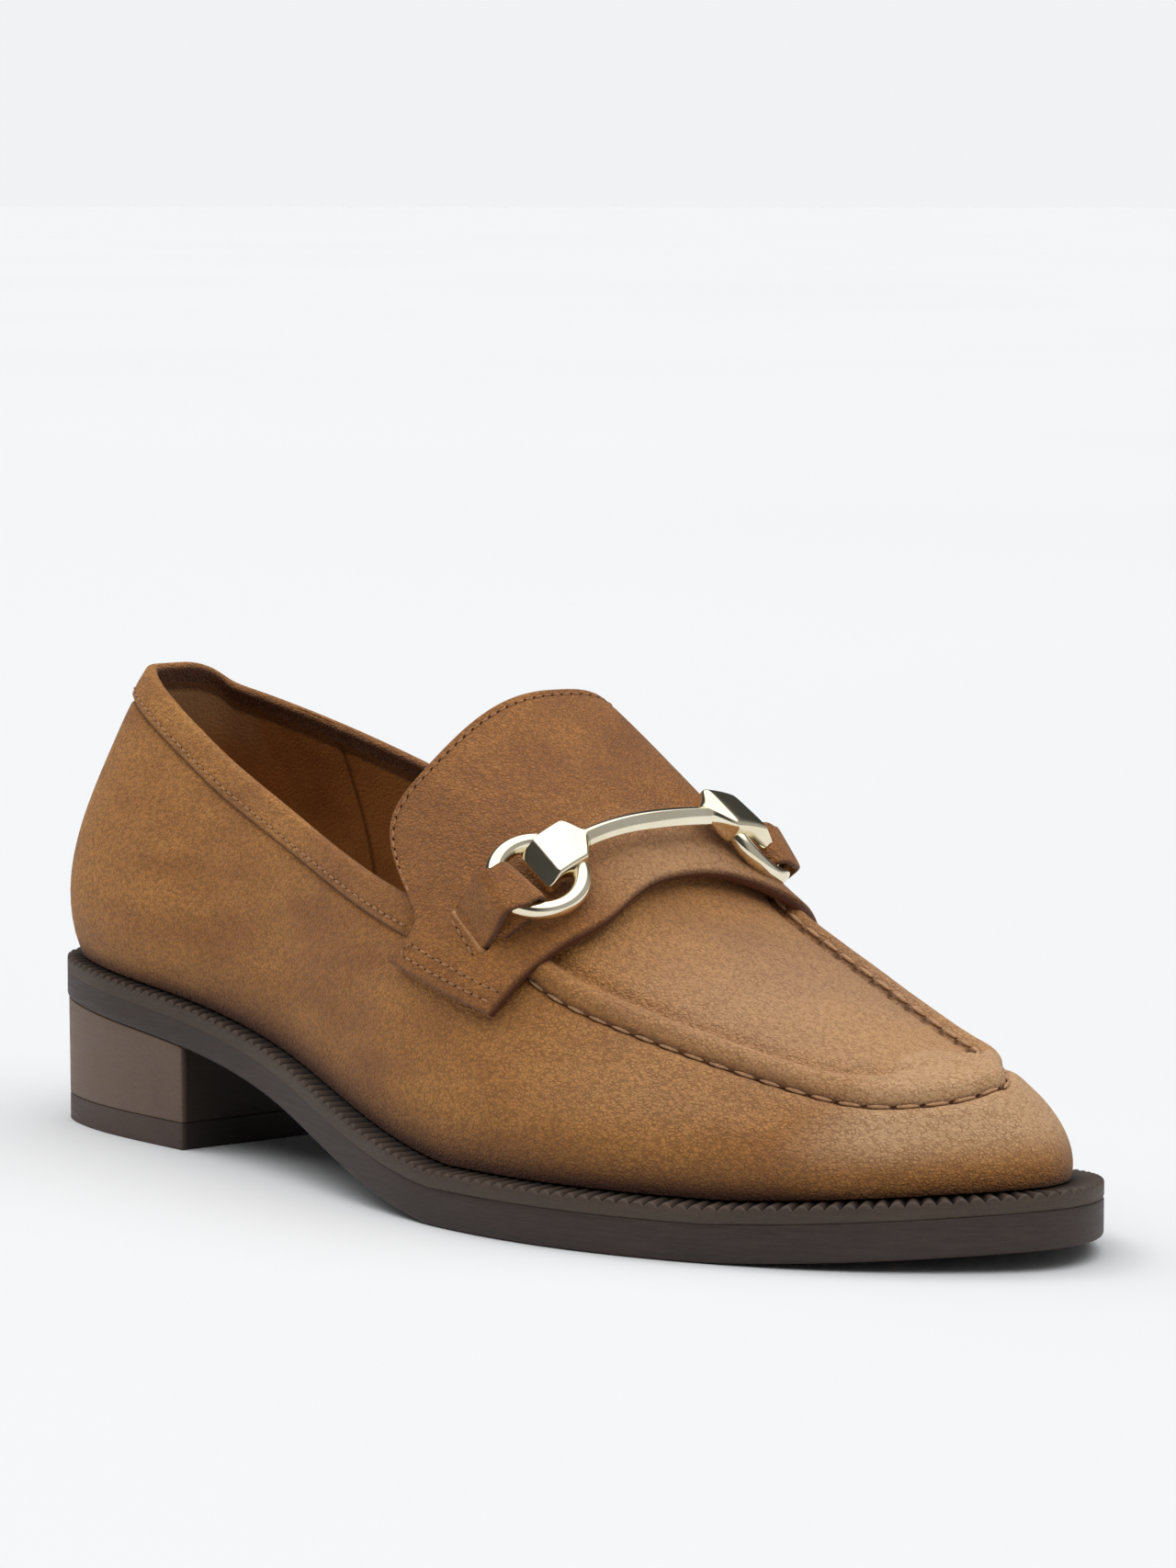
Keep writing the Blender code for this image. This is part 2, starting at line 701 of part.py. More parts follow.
def make_tab(name, side, material):
    """A folded leather strip that comes out of the saddle and goes round the ring's wire."""
    to_world = ring_matrix(side) @ Matrix.Rotation(math.radians(side * TAB_TURN), 4, "Z")
    stations, depths = np.meshgrid(RING_X + np.linspace(-2.0 * TAB_WIDTH, TAB_WIDTH, 41),
                                   RING_S + np.linspace(0.0, 1.5 * TAB_LENGTH, 31))
    ground = place(on_saddle(stations, BIT_S + side * depths))
    ground = np.array([to_world.inverted() @ Vector(point) for point in ground])
    ground = ground[np.abs(ground[:, 1]) < 0.6 * TAB_WIDTH]

    def saddle_level(d):
        """Height of the saddle under the strip, over its whole width, with room below."""
        return ground[np.abs(ground[:, 0] - d) < 1.0, 2].max() + SADDLE_GAP

    eye = RING_WIRE + GAP
    near = math.sqrt((RING_RADIUS - RING_WIRE) ** 2 - (TAB_WIDTH / 2.0) ** 2) + eye - GAP
    far = RING_RADIUS
    turns = 6
    half_turn = [math.pi * step / turns for step in range(turns + 1)]
    inner = [(near - eye * math.sin(a), RING_HEIGHT + eye * math.cos(a)) for a in half_turn]
    inner += [(far + eye * math.sin(a), RING_HEIGHT - eye * math.cos(a)) for a in half_turn]
    wide = eye + TAB_THICK
    outer = [(near - wide * math.sin(a), RING_HEIGHT + wide * math.cos(a)) for a in half_turn]
    lower = [far + 0.5, far + 2.2, TAB_LENGTH]
    outer += [(d, saddle_level(d)) for d in lower]
    end = saddle_level(TAB_LENGTH)
    outer += [(TAB_LENGTH + 0.4, end + TAB_THICK), (TAB_LENGTH, end + 2.0 * TAB_THICK)]
    outer += [(far + wide, RING_HEIGHT), (far + 1.0, RING_HEIGHT + wide)]
    bm = bmesh.new()
    loops = []
    for outline in (inner, outer):
        for across in (-TAB_WIDTH / 2.0, TAB_WIDTH / 2.0):
            loops.append([bm.verts.new(to_world @ Vector((d, across, n))) for d, n in outline])
    inner_low, inner_high, outer_low, outer_high = loops
    add_walls(bm, [inner_low, inner_high, outer_high, outer_low, inner_low])
    return new_object(name, bm, material)


def main():
    for obj in list(bpy.data.objects):
        bpy.data.objects.remove(obj)
    nubuck = add_material("tan_nubuck", (0.376, 0.171, 0.061), 0.85)
    saddle = add_material("tan_saddle", (0.370, 0.165, 0.058), 0.85)
    tabs = add_material("tan_tabs", (0.370, 0.165, 0.058), 0.85)
    sole = add_material("brown_sole", (0.107, 0.080, 0.065), 0.6)
    welt = add_material("brown_welt", (0.095, 0.072, 0.060), 0.6)
    heel = add_material("brown_heel", (0.107, 0.080, 0.065), 0.6)
    lift = add_material("brown_lift", (0.085, 0.065, 0.055), 0.65)
    board = add_material("tan_insole", (0.300, 0.150, 0.060), 0.7)
    plating = add_material("pale_gold", (0.800, 0.690, 0.500), 0.15, 1.0)
    make_outsole(sole)
    make_welt(welt)
    make_heel_block(heel)
    make_heel_lift(lift)
    make_insole(board)
    make_upper(nubuck)
    make_saddle(saddle)
    make_bar(plating)
    for name, side in (("lateral", -1.0), ("medial", 1.0)):
        make_ring("ring_" + name, side, plating)
        make_tab("ring_tab_" + name, side, tabs)


main()
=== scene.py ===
"""Looks of the loafer: nubuck, stitching, ribbed welt, heel and polished bit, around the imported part.

Shapes are worked out in millimetres in the last's own axes, x from the heel back to the toe, and are
placed in metres about the part's origin.  A minus y is the outer side of this right shoe.
"""
import math

import bmesh
import bpy
import numpy as np
from mathutils import Matrix, Vector


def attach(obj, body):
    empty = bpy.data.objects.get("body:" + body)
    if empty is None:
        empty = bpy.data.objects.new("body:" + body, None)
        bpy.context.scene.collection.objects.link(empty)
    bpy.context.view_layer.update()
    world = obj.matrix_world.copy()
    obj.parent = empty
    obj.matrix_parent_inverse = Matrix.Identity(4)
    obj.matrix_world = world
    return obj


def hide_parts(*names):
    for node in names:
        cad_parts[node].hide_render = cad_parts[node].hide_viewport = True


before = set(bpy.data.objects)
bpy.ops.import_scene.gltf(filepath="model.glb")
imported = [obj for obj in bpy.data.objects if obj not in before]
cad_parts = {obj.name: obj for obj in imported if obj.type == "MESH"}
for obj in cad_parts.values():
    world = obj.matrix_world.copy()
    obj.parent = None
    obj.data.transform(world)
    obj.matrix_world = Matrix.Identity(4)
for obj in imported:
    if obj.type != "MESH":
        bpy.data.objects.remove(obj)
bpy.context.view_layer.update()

MM = 0.001
FULL_TURN = 2.0 * math.pi
QUARTER_TURN = math.pi / 2.0

# Sole
LENGTH = 262.0
LIFT = 5.2
BREAST_X = 57.0
HEEL_INSET = 0.3
HEEL_TAPER = 0.5
OUTSOLE_HEEL = 5.0
OUTSOLE_FORE = 6.8
WELT_THICK = 3.4
WELT_WIDTH = 17.0
RIB_PITCH = 2.85
RIB_DEPTH = 1.1
EDGE_ROUND = 0.9
INSOLE_THICK = 3.0
INSOLE_CLEAR = 0.8
GAP = 0.3

# Upper
WALL = 1.9
HEEL_POLE_X = 26.0
TOE_POLE_X = 226.0
POLE_SOFTNESS = 6.0
BULGE_REACH = 0.62
BULGE_PEAK = 6.75
COLLAR_END_X = 132.0
THROAT_X = 152.0
BAND_WIDTH = 6.9
BAND_STEP = 0.9
RIDGE_HEIGHT = 2.7        # ridge of the moccasin seam, sewn through at both its sides
RIDGE_WIDTH = 6.0
RIDGE_BACK_X = 158.0
RIDGE_FULL_X = 166.0
SEAM_PITCH = 5.2

# Saddle and bit
SADDLE_THICK = 2.4
SADDLE_GAP = 0.5
SADDLE_LIFT = 1.2
WING_LOW = 46.0
WING_BACK_X = 131.0
WING_SLOPE = -0.233
BIT_X = 157.8
BIT_S = -6.0
RING_X = 158.6
RING_S = 25.0
RING_RADIUS = 8.2
RING_TILT = 6.0
RING_TURN = 8.0
RING_WIRE = 1.75
TAB_THICK = 1.2
TAB_WIDTH = 10.0
TAB_LENGTH = 14.6
TAB_TURN = 22.0
BAR_HALF = 24.5
SADDLE_TOP = SADDLE_GAP + SADDLE_THICK
RING_HEIGHT = SADDLE_GAP + TAB_THICK + GAP + RING_WIRE


class Sections:
    """A short table with a row for each section, read smoothly between the rows."""

    def __init__(self, columns, *rows):
        names = columns.split()
        values = np.array(rows, dtype=float)
        self.key = values[:, 0]
        self.columns = {}
        for index, name in enumerate(names[1:], start=1):
            column = values[:, index]
            self.columns[name] = (column, self.bends(column))

    def bends(self, column):
        """Second derivatives of the natural cubic spline through one column."""
        step = np.diff(self.key)
        count = len(self.key)
        matrix = np.eye(count)
        right = np.zeros(count)
        slope = np.diff(column) / step
        for row in range(1, count - 1):
            matrix[row, row - 1:row + 2] = step[row - 1], 2.0 * (step[row - 1] + step[row]), step[row]
            right[row] = 6.0 * (slope[row] - slope[row - 1])
        return np.linalg.solve(matrix, right)

    def at(self, name, key):
        column, bend = self.columns[name]
        key = np.clip(np.asarray(key, dtype=float), self.key[0], self.key[-1])
        low = np.clip(np.searchsorted(self.key, key) - 1, 0, len(self.key) - 2)
        step = self.key[low + 1] - self.key[low]
        after = (key - self.key[low]) / step
        before = 1.0 - after
        curve = (before ** 3 - before) * bend[low] + (after ** 3 - after) * bend[low + 1]
        return before * column[low] + after * column[low + 1] + curve * step ** 2 / 6.0


def turn_of(x):
    """Angle that puts sections close together at the round ends of the sole."""
    return np.arccos(np.clip(1.0 - 2.0 * np.asarray(x) / LENGTH, -1.0, 1.0))


# Plan of the welt: distances from the heel's middle line
PLAN_ROWS = (
    # x, lateral, medial
    (0.0, 0.0, 0.0),
    (3.0, -18.0, 18.0),
    (13.0, -26.5, 26.0),
    (31.0, -30.5, 29.5),
    (58.0, -31.5, 29.5),
    (89.0, -34.0, 29.0),
    (120.0, -41.0, 33.5),
    (147.0, -46.0, 41.0),
    (173.0, -46.5, 46.0),
    (196.0, -42.0, 47.0),
    (220.0, -32.0, 44.5),
    (241.0, -18.0, 39.3),
    (254.0, -4.0, 30.0),
    (262.0, 13.0, 13.0),
)
PLAN = Sections("turn lateral medial", *[(turn_of(x), lateral, medial) for x, lateral, medial in PLAN_ROWS])

# Side view: underside of the outsole, width of the welt's shelf outside the upper
SIDE = Sections(
    "x under shelf",
    (0.0, 26.0, 3.0),
    (30.0, 23.5, 3.0),
    (62.0, 20.0, 3.2),
    (90.0, 14.5, 3.6),
    (115.0, 8.0, 4.2),
    (138.0, 2.6, 4.8),
    (160.0, -0.6, 5.2),
    (205.0, -0.6, 5.5),
    (230.0, 0.9, 5.6),
    (262.0, 3.9, 6.1),
)

# The last: crest over the foot and its swing to the inner side, how square the sections are at
# their sides (outer and inner) and their roof, and how far they swell over the feather line
LAST = Sections(
    "x crest swing outer inner roof outer_swell inner_swell",
    (0.0, 108.0, 0.0, 1.05, 1.05, 2.5, 2.8, 2.8),
    (40.0, 108.5, 0.0, 1.05, 1.05, 2.5, 2.4, 2.4),
    (80.0, 107.0, 2.0, 1.40, 1.50, 2.4, 1.6, 2.2),
    (100.0, 103.5, 4.0, 1.90, 2.50, 2.35, 1.2, 2.5),
    (120.0, 95.0, 6.0, 2.05, 3.80, 2.3, 1.0, 2.4),
    (140.0, 81.0, 6.0, 2.40, 4.10, 2.3, 1.0, 2.2),
    (158.0, 67.0, 6.0, 2.65, 3.90, 2.35, 1.0, 2.0),
    (168.0, 58.5, 6.2, 2.65, 3.75, 2.4, 1.0, 1.8),
    (180.0, 52.0, 7.0, 2.55, 3.55, 2.4, 1.0, 1.5),
    (200.0, 43.8, 9.0, 2.40, 3.05, 2.4, 1.0, 1.2),
    (226.0, 35.0, 12.0, 2.15, 2.30, 2.4, 1.0, 0.6),
    (262.0, 28.0, 13.0, 1.90, 1.90, 2.3, 0.5, 0.5),
)

# Where the moccasin seam runs: share of the way in from the feather line to the crest
SEAM = Sections(
    "x outer inner",
    (140.0, 0.20, 0.18),
    (170.0, 0.205, 0.27),
    (190.0, 0.235, 0.28),
    (205.0, 0.26, 0.28),
    (225.0, 0.265, 0.31),
    (240.0, 0.23, 0.41),
    (250.0, 0.25, 0.45),
    (257.0, 0.30, 0.43),
    (262.0, 0.37, 0.37),
)

# Height of the collar's edge, on the outer and the inner side
COLLAR = Sections(
    "x outer inner",
    (0.0, 93.4, 93.4),
    (6.0, 93.4, 89.6),
    (12.0, 92.7, 88.0),
    (20.0, 91.2, 86.7),
    (40.0, 85.0, 82.9),
    (60.0, 77.4, 78.4),
    (80.0, 71.1, 72.8),
    (100.0, 65.5, 66.0),
    (120.0, 60.3, 60.4),
    (140.0, 56.2, 56.2),
)

# Saddle and tongue in one piece: share of the way from the crest to the wing's lower edge
SADDLE = Sections(
    "share back front",
    (0.0, 124.2, 166.0),
    (0.20, 124.2, 167.0),
    (0.35, 124.0, 169.3),
    (0.50, 122.4, 171.0),
    (0.60, 120.8, 170.5),
    (0.66, 121.2, 169.8),
    (0.71, 123.6, 169.2),
    (0.75, 127.2, 168.7),
    (0.79, 132.0, 168.1),
    (0.83, 136.5, 167.4),
    (0.87, 137.5, 166.7),
    (0.93, 135.5, 165.3),
    (1.0, 132.5, 163.5),
)


def smoothstep(low, high, value):
    share = portion((value - low) / (high - low))
    return share * share * (3.0 - 2.0 * share)


def soft_clamp(value, low, high):
    over_low = np.logaddexp(0.0, (value - low) / POLE_SOFTNESS)
    over_high = np.logaddexp(0.0, (value - high) / POLE_SOFTNESS)
    return low + POLE_SOFTNESS * (over_low - over_high)


def portion(value):
    """A share, kept between 0 and 1."""
    return np.clip(value, 0.0, 1.0)


def bell(value, width):
    return np.exp(-(value / width) ** 2)


def unit(vectors):
    return vectors / np.linalg.norm(vectors, axis=-1, keepdims=True)


def runs(points):
    """Distance run at each point of a row."""
    return np.concatenate([[0.0], np.cumsum(np.linalg.norm(np.diff(points, axis=0), axis=1))])


def along_row(way, run, values):
    """Values of a row of points, at distances along it."""
    return np.stack([np.interp(way, run, column) for column in values.T], axis=-1)


def turned(degrees, axis):
    return Matrix.Rotation(math.radians(degrees), 4, axis)


# Round the sole: u is 0 at the heel back, 0.5 at the toe tip by the outer side, and 1 at the heel again

def u_of(x, inner):
    share = turn_of(x) / FULL_TURN
    return np.where(inner, 1.0 - share, share)


def is_inner(u):
    return np.mod(u, 1.0) > 0.5


def edge(u):
    """Plan of the welt's outer edge."""
    u = np.mod(u, 1.0)
    turn = FULL_TURN * np.minimum(u, 1.0 - u)
    x = LENGTH * (1.0 - np.cos(turn)) / 2.0
    y = np.where(is_inner(u), PLAN.at("medial", turn), PLAN.at("lateral", turn))
    return np.stack([x, y], axis=-1)


def station_of(u):
    return edge(u)[..., 0]


def inset_edge(u, inset):
    """The edge moved in by an amount, square to itself."""
    step = 1e-4
    along = unit(edge(u + step) - edge(u - step))
    outwards = np.stack([along[..., 1], -along[..., 0]], axis=-1)
    return edge(u) - outwards * np.asarray(inset)[..., None]


def under(x):
    """Underside of the outsole: it lies flat on the floor at the ball."""
    return np.maximum(SIDE.at("under", x), 0.0)


def outsole_thick(x):
    waist_back_x = 60.0
    ball_x = 165.0
    return OUTSOLE_HEEL + (OUTSOLE_FORE - OUTSOLE_HEEL) * smoothstep(waist_back_x, ball_x, x)


def welt_base(x):
    return under(x) + outsole_thick(x) + GAP


def welt_top(x):
    return welt_base(x) + WELT_THICK


# The last: t runs from 0 at the feather line to a quarter turn at the crest

def by_side(table, u, station, outer="outer", inner="inner"):
    return np.where(is_inner(u), table.at(inner, station), table.at(outer, station))


def squareness(u):
    return by_side(LAST, u, station_of(u))


def crest_x(u):
    return soft_clamp(station_of(u), HEEL_POLE_X, TOE_POLE_X)


def last(u, t):
    station = station_of(u)
    foot = inset_edge(u, SIDE.at("shelf", station))
    spine = crest_x(u)
    crest = np.stack([spine, LAST.at("swing", spine)], axis=-1)
    rise = np.sin(t) ** (2.0 / LAST.at("roof", station))
    inwards = 1.0 - np.maximum(np.cos(t), 0.0) ** (2.0 / squareness(u))
    reach = portion(rise / BULGE_REACH)
    swell = BULGE_PEAK * reach * (1.0 - reach) ** 2
    swell = swell * by_side(LAST, u, station, "outer_swell", "inner_swell")
    across = crest - foot
    flat = foot + across * (inwards - swell / np.linalg.norm(across, axis=-1))[..., None]
    low = welt_top(foot[..., 0]) + GAP
    height = low + (LAST.at("crest", spine) - low) * rise
    return np.concatenate([flat, height[..., None]], axis=-1)


def outward(u, t):
    """Unit normal of the last, pointing away from the foot; both sides share it at the crest."""
    step = 1e-3
    around = last(u + step, t) - last(u - step, t)
    up = last(u, np.minimum(t + step, QUARTER_TURN)) - last(u, np.maximum(t - step, 0.0))
    normal = unit(np.cross(around, up))
    spine = crest_x(u) + np.zeros_like(t)
    fall = LAST.at("crest", spine - 1.0) - LAST.at("crest", spine + 1.0)
    crest_normal = unit(np.stack([fall / 2.0, np.zeros_like(fall), np.ones_like(fall)], axis=-1))
    near_crest = smoothstep(QUARTER_TURN - 0.15, QUARTER_TURN - 0.01, t)[..., None]
    return unit(normal + (crest_normal - normal) * near_crest)


def stretch(u, t):
    """Millimetres of skin for each unit of t."""
    step = 1e-3
    return np.linalg.norm(last(u, t + step) - last(u, t - step), axis=-1) / (2.0 * step)


def t_of_height(u, height):
    station = station_of(u)
    low = welt_top(station) + GAP
    rise = portion((height - low) / (LAST.at("crest", crest_x(u)) - low))
    return np.arcsin(rise ** (LAST.at("roof", station) / 2.0))


def top_line(u):
    """Upper edge: the collar at the sides, and the crest from the throat forwards."""
    station = station_of(u)
    collar = t_of_height(u, by_side(COLLAR, u, station))
    closed = smoothstep(COLLAR_END_X, THROAT_X, station)
    return collar + (QUARTER_TURN - collar) * closed


DOWN_TO_FEATHER = np.linspace(QUARTER_TURN, 0.02, 80)


def on_instep(x, s, height):
    """A point over the instep: station x, distance s down from the crest, minus to the outer side."""
    x, s, height = [np.ravel(value) for value in np.broadcast_arrays(x, s, height)]
    u = u_of(x, s > 0.0)
    lines = last(u[:, None], np.tile(DOWN_TO_FEATHER, (len(u), 1)))
    steps = np.linalg.norm(np.diff(lines, axis=1), axis=2)
    runs = np.concatenate([np.zeros((len(u), 1)), np.cumsum(steps, axis=1)], axis=1)
    t = np.array([np.interp(abs(far), run, DOWN_TO_FEATHER) for far, run in zip(s, runs)])
    return last(u, t) + outward(u, t) * height[:, None]


def wing_reach(x, inner):
    """Distance along the skin from the crest to the wing's lower edge."""
    u = u_of(x, inner)
    low = WING_LOW + WING_SLOPE * (x - WING_BACK_X)
    ends = t_of_height(u, low)
    share = np.linspace(0.0, 1.0, 60)
    t = QUARTER_TURN + (ends - QUARTER_TURN)[:, None] * share
    lines = last(u[:, None], t)
    return np.linalg.norm(np.diff(lines, axis=1), axis=2).sum(axis=1)


def saddle_span(share):
    """Station of the saddle's back edge, and its length from there to its front edge."""
    back = SADDLE.at("back", share)
    return back, SADDLE.at("front", share) - back


def saddle_lift(share, along):
    """The front edge stands off the vamp, except at the ends of the wings."""
    return SADDLE_LIFT * smoothstep(0.7, 1.0, along) * smoothstep(1.0, 0.8, share)


def saddle_skin(across, along, height):
    """A point of the saddle: across from -1 to 1, along from its back edge to its front edge."""
    share = np.abs(across)
    back, length = saddle_span(share)
    x = back + length * along
    return on_instep(x, across * wing_reach(x, across > 0.0), height + saddle_lift(share, along))


def on_saddle(x, s):
    """A point on top of the saddle: station x, distance s down from the crest."""
    x, s = [np.ravel(value) for value in np.broadcast_arrays(x, s)]
    share = np.abs(s) / wing_reach(x, s > 0.0)
    back, length = saddle_span(share)
    return on_instep(x, s, SADDLE_TOP + saddle_lift(share, (x - back) / length))


ROUND_EDGE = edge(np.linspace(0.0, 1.0, 400))
CENTRE = np.array([LENGTH / 2.0, (ROUND_EDGE[:, 1].min() + ROUND_EDGE[:, 1].max()) / 2.0, 0.0])


def place(points):
    """From the last's own millimetres to metres about the origin."""
    return (np.asarray(points) - CENTRE) * MM


# Finishes

class Wire:
    """A shader value: arithmetic on it adds Math nodes."""

    def __init__(self, nodes, socket):
        self.nodes = nodes
        self.socket = socket

    def maths(self, operation, first, second):
        return self.nodes.add("ShaderNodeMath", {"operation": operation}, {0: first, 1: second})

    def __add__(self, other):
        return self.maths("ADD", self, other)

    def __radd__(self, other):
        return self.maths("ADD", other, self)

    def __sub__(self, other):
        return self.maths("SUBTRACT", self, other)

    def __rsub__(self, other):
        return self.maths("SUBTRACT", other, self)

    def __mul__(self, other):
        return self.maths("MULTIPLY", self, other)

    def __rmul__(self, other):
        return self.maths("MULTIPLY", other, self)


class Nodes:
    """A node tree, with one method that adds a node of any kind."""

    def __init__(self, tree):
        self.tree = tree

    def add(self, kind, settings, sockets, out=0):
        """A node of a kind, with its settings, then the values or links of its sockets."""
        node = self.tree.nodes.new(kind)
        for name, value in settings.items():
            setattr(node, name, value)
        for name, value in sockets.items():
            if isinstance(value, Wire):
                self.tree.links.new(value.socket, node.inputs[name])
            else:
                node.inputs[name].default_value = value
        return Wire(self, node.outputs[out])

    def fade(self, value, low, high, start=0.0, end=1.0):
        return self.add("ShaderNodeMapRange", {"interpolation_type": "SMOOTHSTEP"},
                        {"Value": value, "From Min": low, "From Max": high, "To Min": start, "To Max": end})

    def soft(self, value, start=0.0, end=1.0):
        """The usual fade of a noise."""
        return self.fade(value, 0.3, 0.7, start, end)

    def blend(self, factor, first, second):
        return self.add("ShaderNodeMix", {"data_type": "RGBA"}, {0: factor, 6: first, 7: second}, 2)


class Finish(Nodes):
    """A material: constants sit on its shader's sockets, and what varies is linked to them."""

    def __init__(self, name, **constants):
        self.material = bpy.data.materials.new(name)
        self.material.use_nodes = True
        super().__init__(self.material.node_tree)
        self.shader = self.tree.nodes["Principled BSDF"]
        for socket, value in constants.items():
            self.shader.inputs[socket.replace("_", " ")].default_value = value
        self.spot = self.add("ShaderNodeTexCoord", {}, {}, "Object")

    def noise(self, scale, detail=2.0, roughness=0.5, spot=None, out=0):
        return self.add("ShaderNodeTexNoise", {}, {"Vector": spot or self.spot, "Scale": scale,
                                                   "Detail": detail, "Roughness": roughness}, out)

    def stretched(self, scale, turn=(0.0, 0.0, 0.0), spot=None):
        return self.add("ShaderNodeMapping", {},
                        {"Vector": spot or self.spot, "Scale": scale, "Rotation": turn})

    def pushed(self, scale, reach):
        """The spot moved about by a noise, in metres."""
        shift = self.noise(scale, 2.0, 0.5, None, "Color")
        return self.add("ShaderNodeVectorMath", {"operation": "MULTIPLY_ADD"},
                        {0: shift, 1: (reach, reach, reach), 2: self.spot})

    def mark(self, name):
        """A value that the piece carries on its vertices."""
        return self.add("ShaderNodeAttribute", {"attribute_name": name}, {}, "Fac")

    def marked(self, base, name, colour):
        return self.blend(self.fade(self.mark(name), 0.0, 1.0), base, colour)

    def cells(self, spot, scale):
        """Distance from the edges of small cells."""
        return self.add("ShaderNodeTexVoronoi", {"feature": "DISTANCE_TO_EDGE"},
                        {"Vector": spot, "Scale": scale}, "Distance")

    def colour(self, value):
        self.tree.links.new(value.socket, self.shader.inputs["Base Color"])

    def roughness(self, value):
        self.tree.links.new(value.socket, self.shader.inputs["Roughness"])

    def relief(self, height, depth):
        """Fine relief, from a height between 0 and 1 and its depth in metres."""
        bump = self.add("ShaderNodeBump", {}, {"Height": height, "Distance": depth, "Strength": 1.0},
                        "Normal")
        self.tree.links.new(bump.socket, self.shader.inputs["Normal"])


def tint(red, green, blue):
    """Linear colour of a shade given as it looks, from 0 to 255."""
    shade = [value / 255.0 for value in (red, green, blue)]
    return (*[value / 12.92 if value < 0.04045 else ((value + 0.055) / 1.055) ** 2.4 for value in shade], 1.0)


# Colours blended in by the marks: dark for burnish and painted shade, raw cut leather, a pale tint for
# painted light, and near black for painted shade on sole, welt and heel.
BURNISH_AND_SHADE = tint(74, 40, 24)
BARE = tint(206, 154, 100)
PAINTED_LIGHT_TINT = tint(208, 166, 124)
PAINTED_SHADE_BLACK = tint(34, 27, 24)


def nubuck(name, light, dark, deep):
    """Buffed leather: a wrinkled nap with cloudy tone, dark with wear and painted shade, paler with painted
    light, pale where it is cut.
    """
    f = Finish(name, Specular_IOR_Level=0.45, Sheen_Weight=0.12, Sheen_Roughness=0.4,
               Sheen_Tint=tint(255, 236, 214))
    clouds = f.noise(20.0, 3.0, 0.5)
    streaks = f.noise(1.0, 2.0, 0.5, f.stretched((45.0, 90.0, 160.0), (0.0, 0.5, 0.3)))
    warped = f.stretched((1050.0, 1350.0, 1550.0), (0.0, 0.6, 0.3), f.pushed(800.0, 0.001))
    nap = f.noise(1.0, 2.0, 0.65, f.stretched((700.0, 1100.0, 1300.0), (0.0, 0.6, 0.3)))
    grain = f.fade(f.cells(warped, 1.0), 0.0, 0.3) * 0.5 + f.soft(nap) * 0.5
    shade = f.fade(clouds * 0.6 + streaks * 0.4, 0.34, 0.66)
    base = f.blend(shade, dark, light)
    base = f.blend(f.fade(grain, 0.1, 0.8, 0.6, 0.0), base, deep)
    # Painted light makes the nap paler; wear and painted shade make it dark.
    base = f.blend(f.mark("brushed") * f.fade(grain, 0.0, 0.6, 0.4, 1.0), base, PAINTED_LIGHT_TINT)
    f.colour(f.marked(f.marked(base, "raw", BARE), "worn", BURNISH_AND_SHADE))
    f.roughness(f.soft(clouds, 0.62, 0.74))
    f.relief(grain, 0.0003)
    return f.material


def smooth_leather(name, light, dark, deep, pale, gloss):
    f = Finish(name, Specular_IOR_Level=0.35)
    clouds = f.noise(60.0, 3.0, 0.6)
    base = f.blend(f.soft(clouds), dark, light)
    # Pale where marked raw (cut leather, the heel grip); deep where wear and painted shade are marked.
    f.colour(f.marked(f.marked(base, "raw", pale), "worn", deep))
    f.roughness(f.soft(clouds, gloss, gloss + 0.12))
    f.relief(f.fade(f.cells(f.spot, 900.0), 0.0, 0.25), 0.00006)
    return f.material


def sole_stuff(name, light, dark, gloss, streak):
    """Brown sole: short fine lines along its side, drawn out by the trimming."""
    f = Finish(name, Specular_IOR_Level=0.35)
    lines = f.noise(1.0, 3.0, 0.6, f.stretched((70.0, 70.0, 1700.0)))
    fine = f.noise(1.0, 2.0, 0.6, f.stretched((260.0, 260.0, 3600.0)))
    specks = f.noise(1500.0, 2.0, 0.6)
    clouds = f.noise(36.0, 2.0, 0.5)
    mixed = (lines * 0.6 + fine * 0.4) * streak + (clouds * 0.6 + specks * 0.4) * (1.0 - streak)
    base = f.blend(f.fade(mixed, 0.34, 0.66), dark, light)
    # Near black where shade is painted: the arch's underside, the heel's breast, the welt's notches and its
    # shelf by the upper.
    f.colour(f.marked(base, "worn", PAINTED_SHADE_BLACK))
    f.roughness(f.soft(lines, gloss, gloss + 0.14))
    f.relief(lines * 0.4 + fine * 0.3 + specks * 0.3, 0.00007)
    return f.material


def plating():
    f = Finish("pale_gold_plating", Metallic=1.0)
    clouds = f.noise(90.0, 2.0, 0.5)
    f.colour(f.blend(f.soft(clouds), tint(234, 222, 192), tint(243, 234, 211)))
    scratches = f.noise(1.0, 2.0, 0.6, f.stretched((400.0, 2500.0, 400.0)))
    f.roughness(f.soft(scratches, 0.06, 0.13))
    return f.material


def thread(name, colour):
    f = Finish(name, Roughness=0.7, Sheen_Weight=0.2)
    twist = f.noise(2600.0, 1.0, 0.5)
    f.colour(f.blend(f.soft(twist), tint(*[0.8 * value for value in colour]), tint(*colour)))
    f.relief(twist, 0.00006)
    return f.material


# Needle holes are dark discs: painted shade for the holes' insides.
def dark_hole(name, colour):
    f = Finish(name, Specular_IOR_Level=0.1)
    clouds = f.noise(900.0, 2.0, 0.5)
    f.colour(f.blend(f.soft(clouds), tint(*[0.8 * value for value in colour]), tint(*colour)))
    f.roughness(f.soft(clouds, 0.85, 0.95))
    return f.material


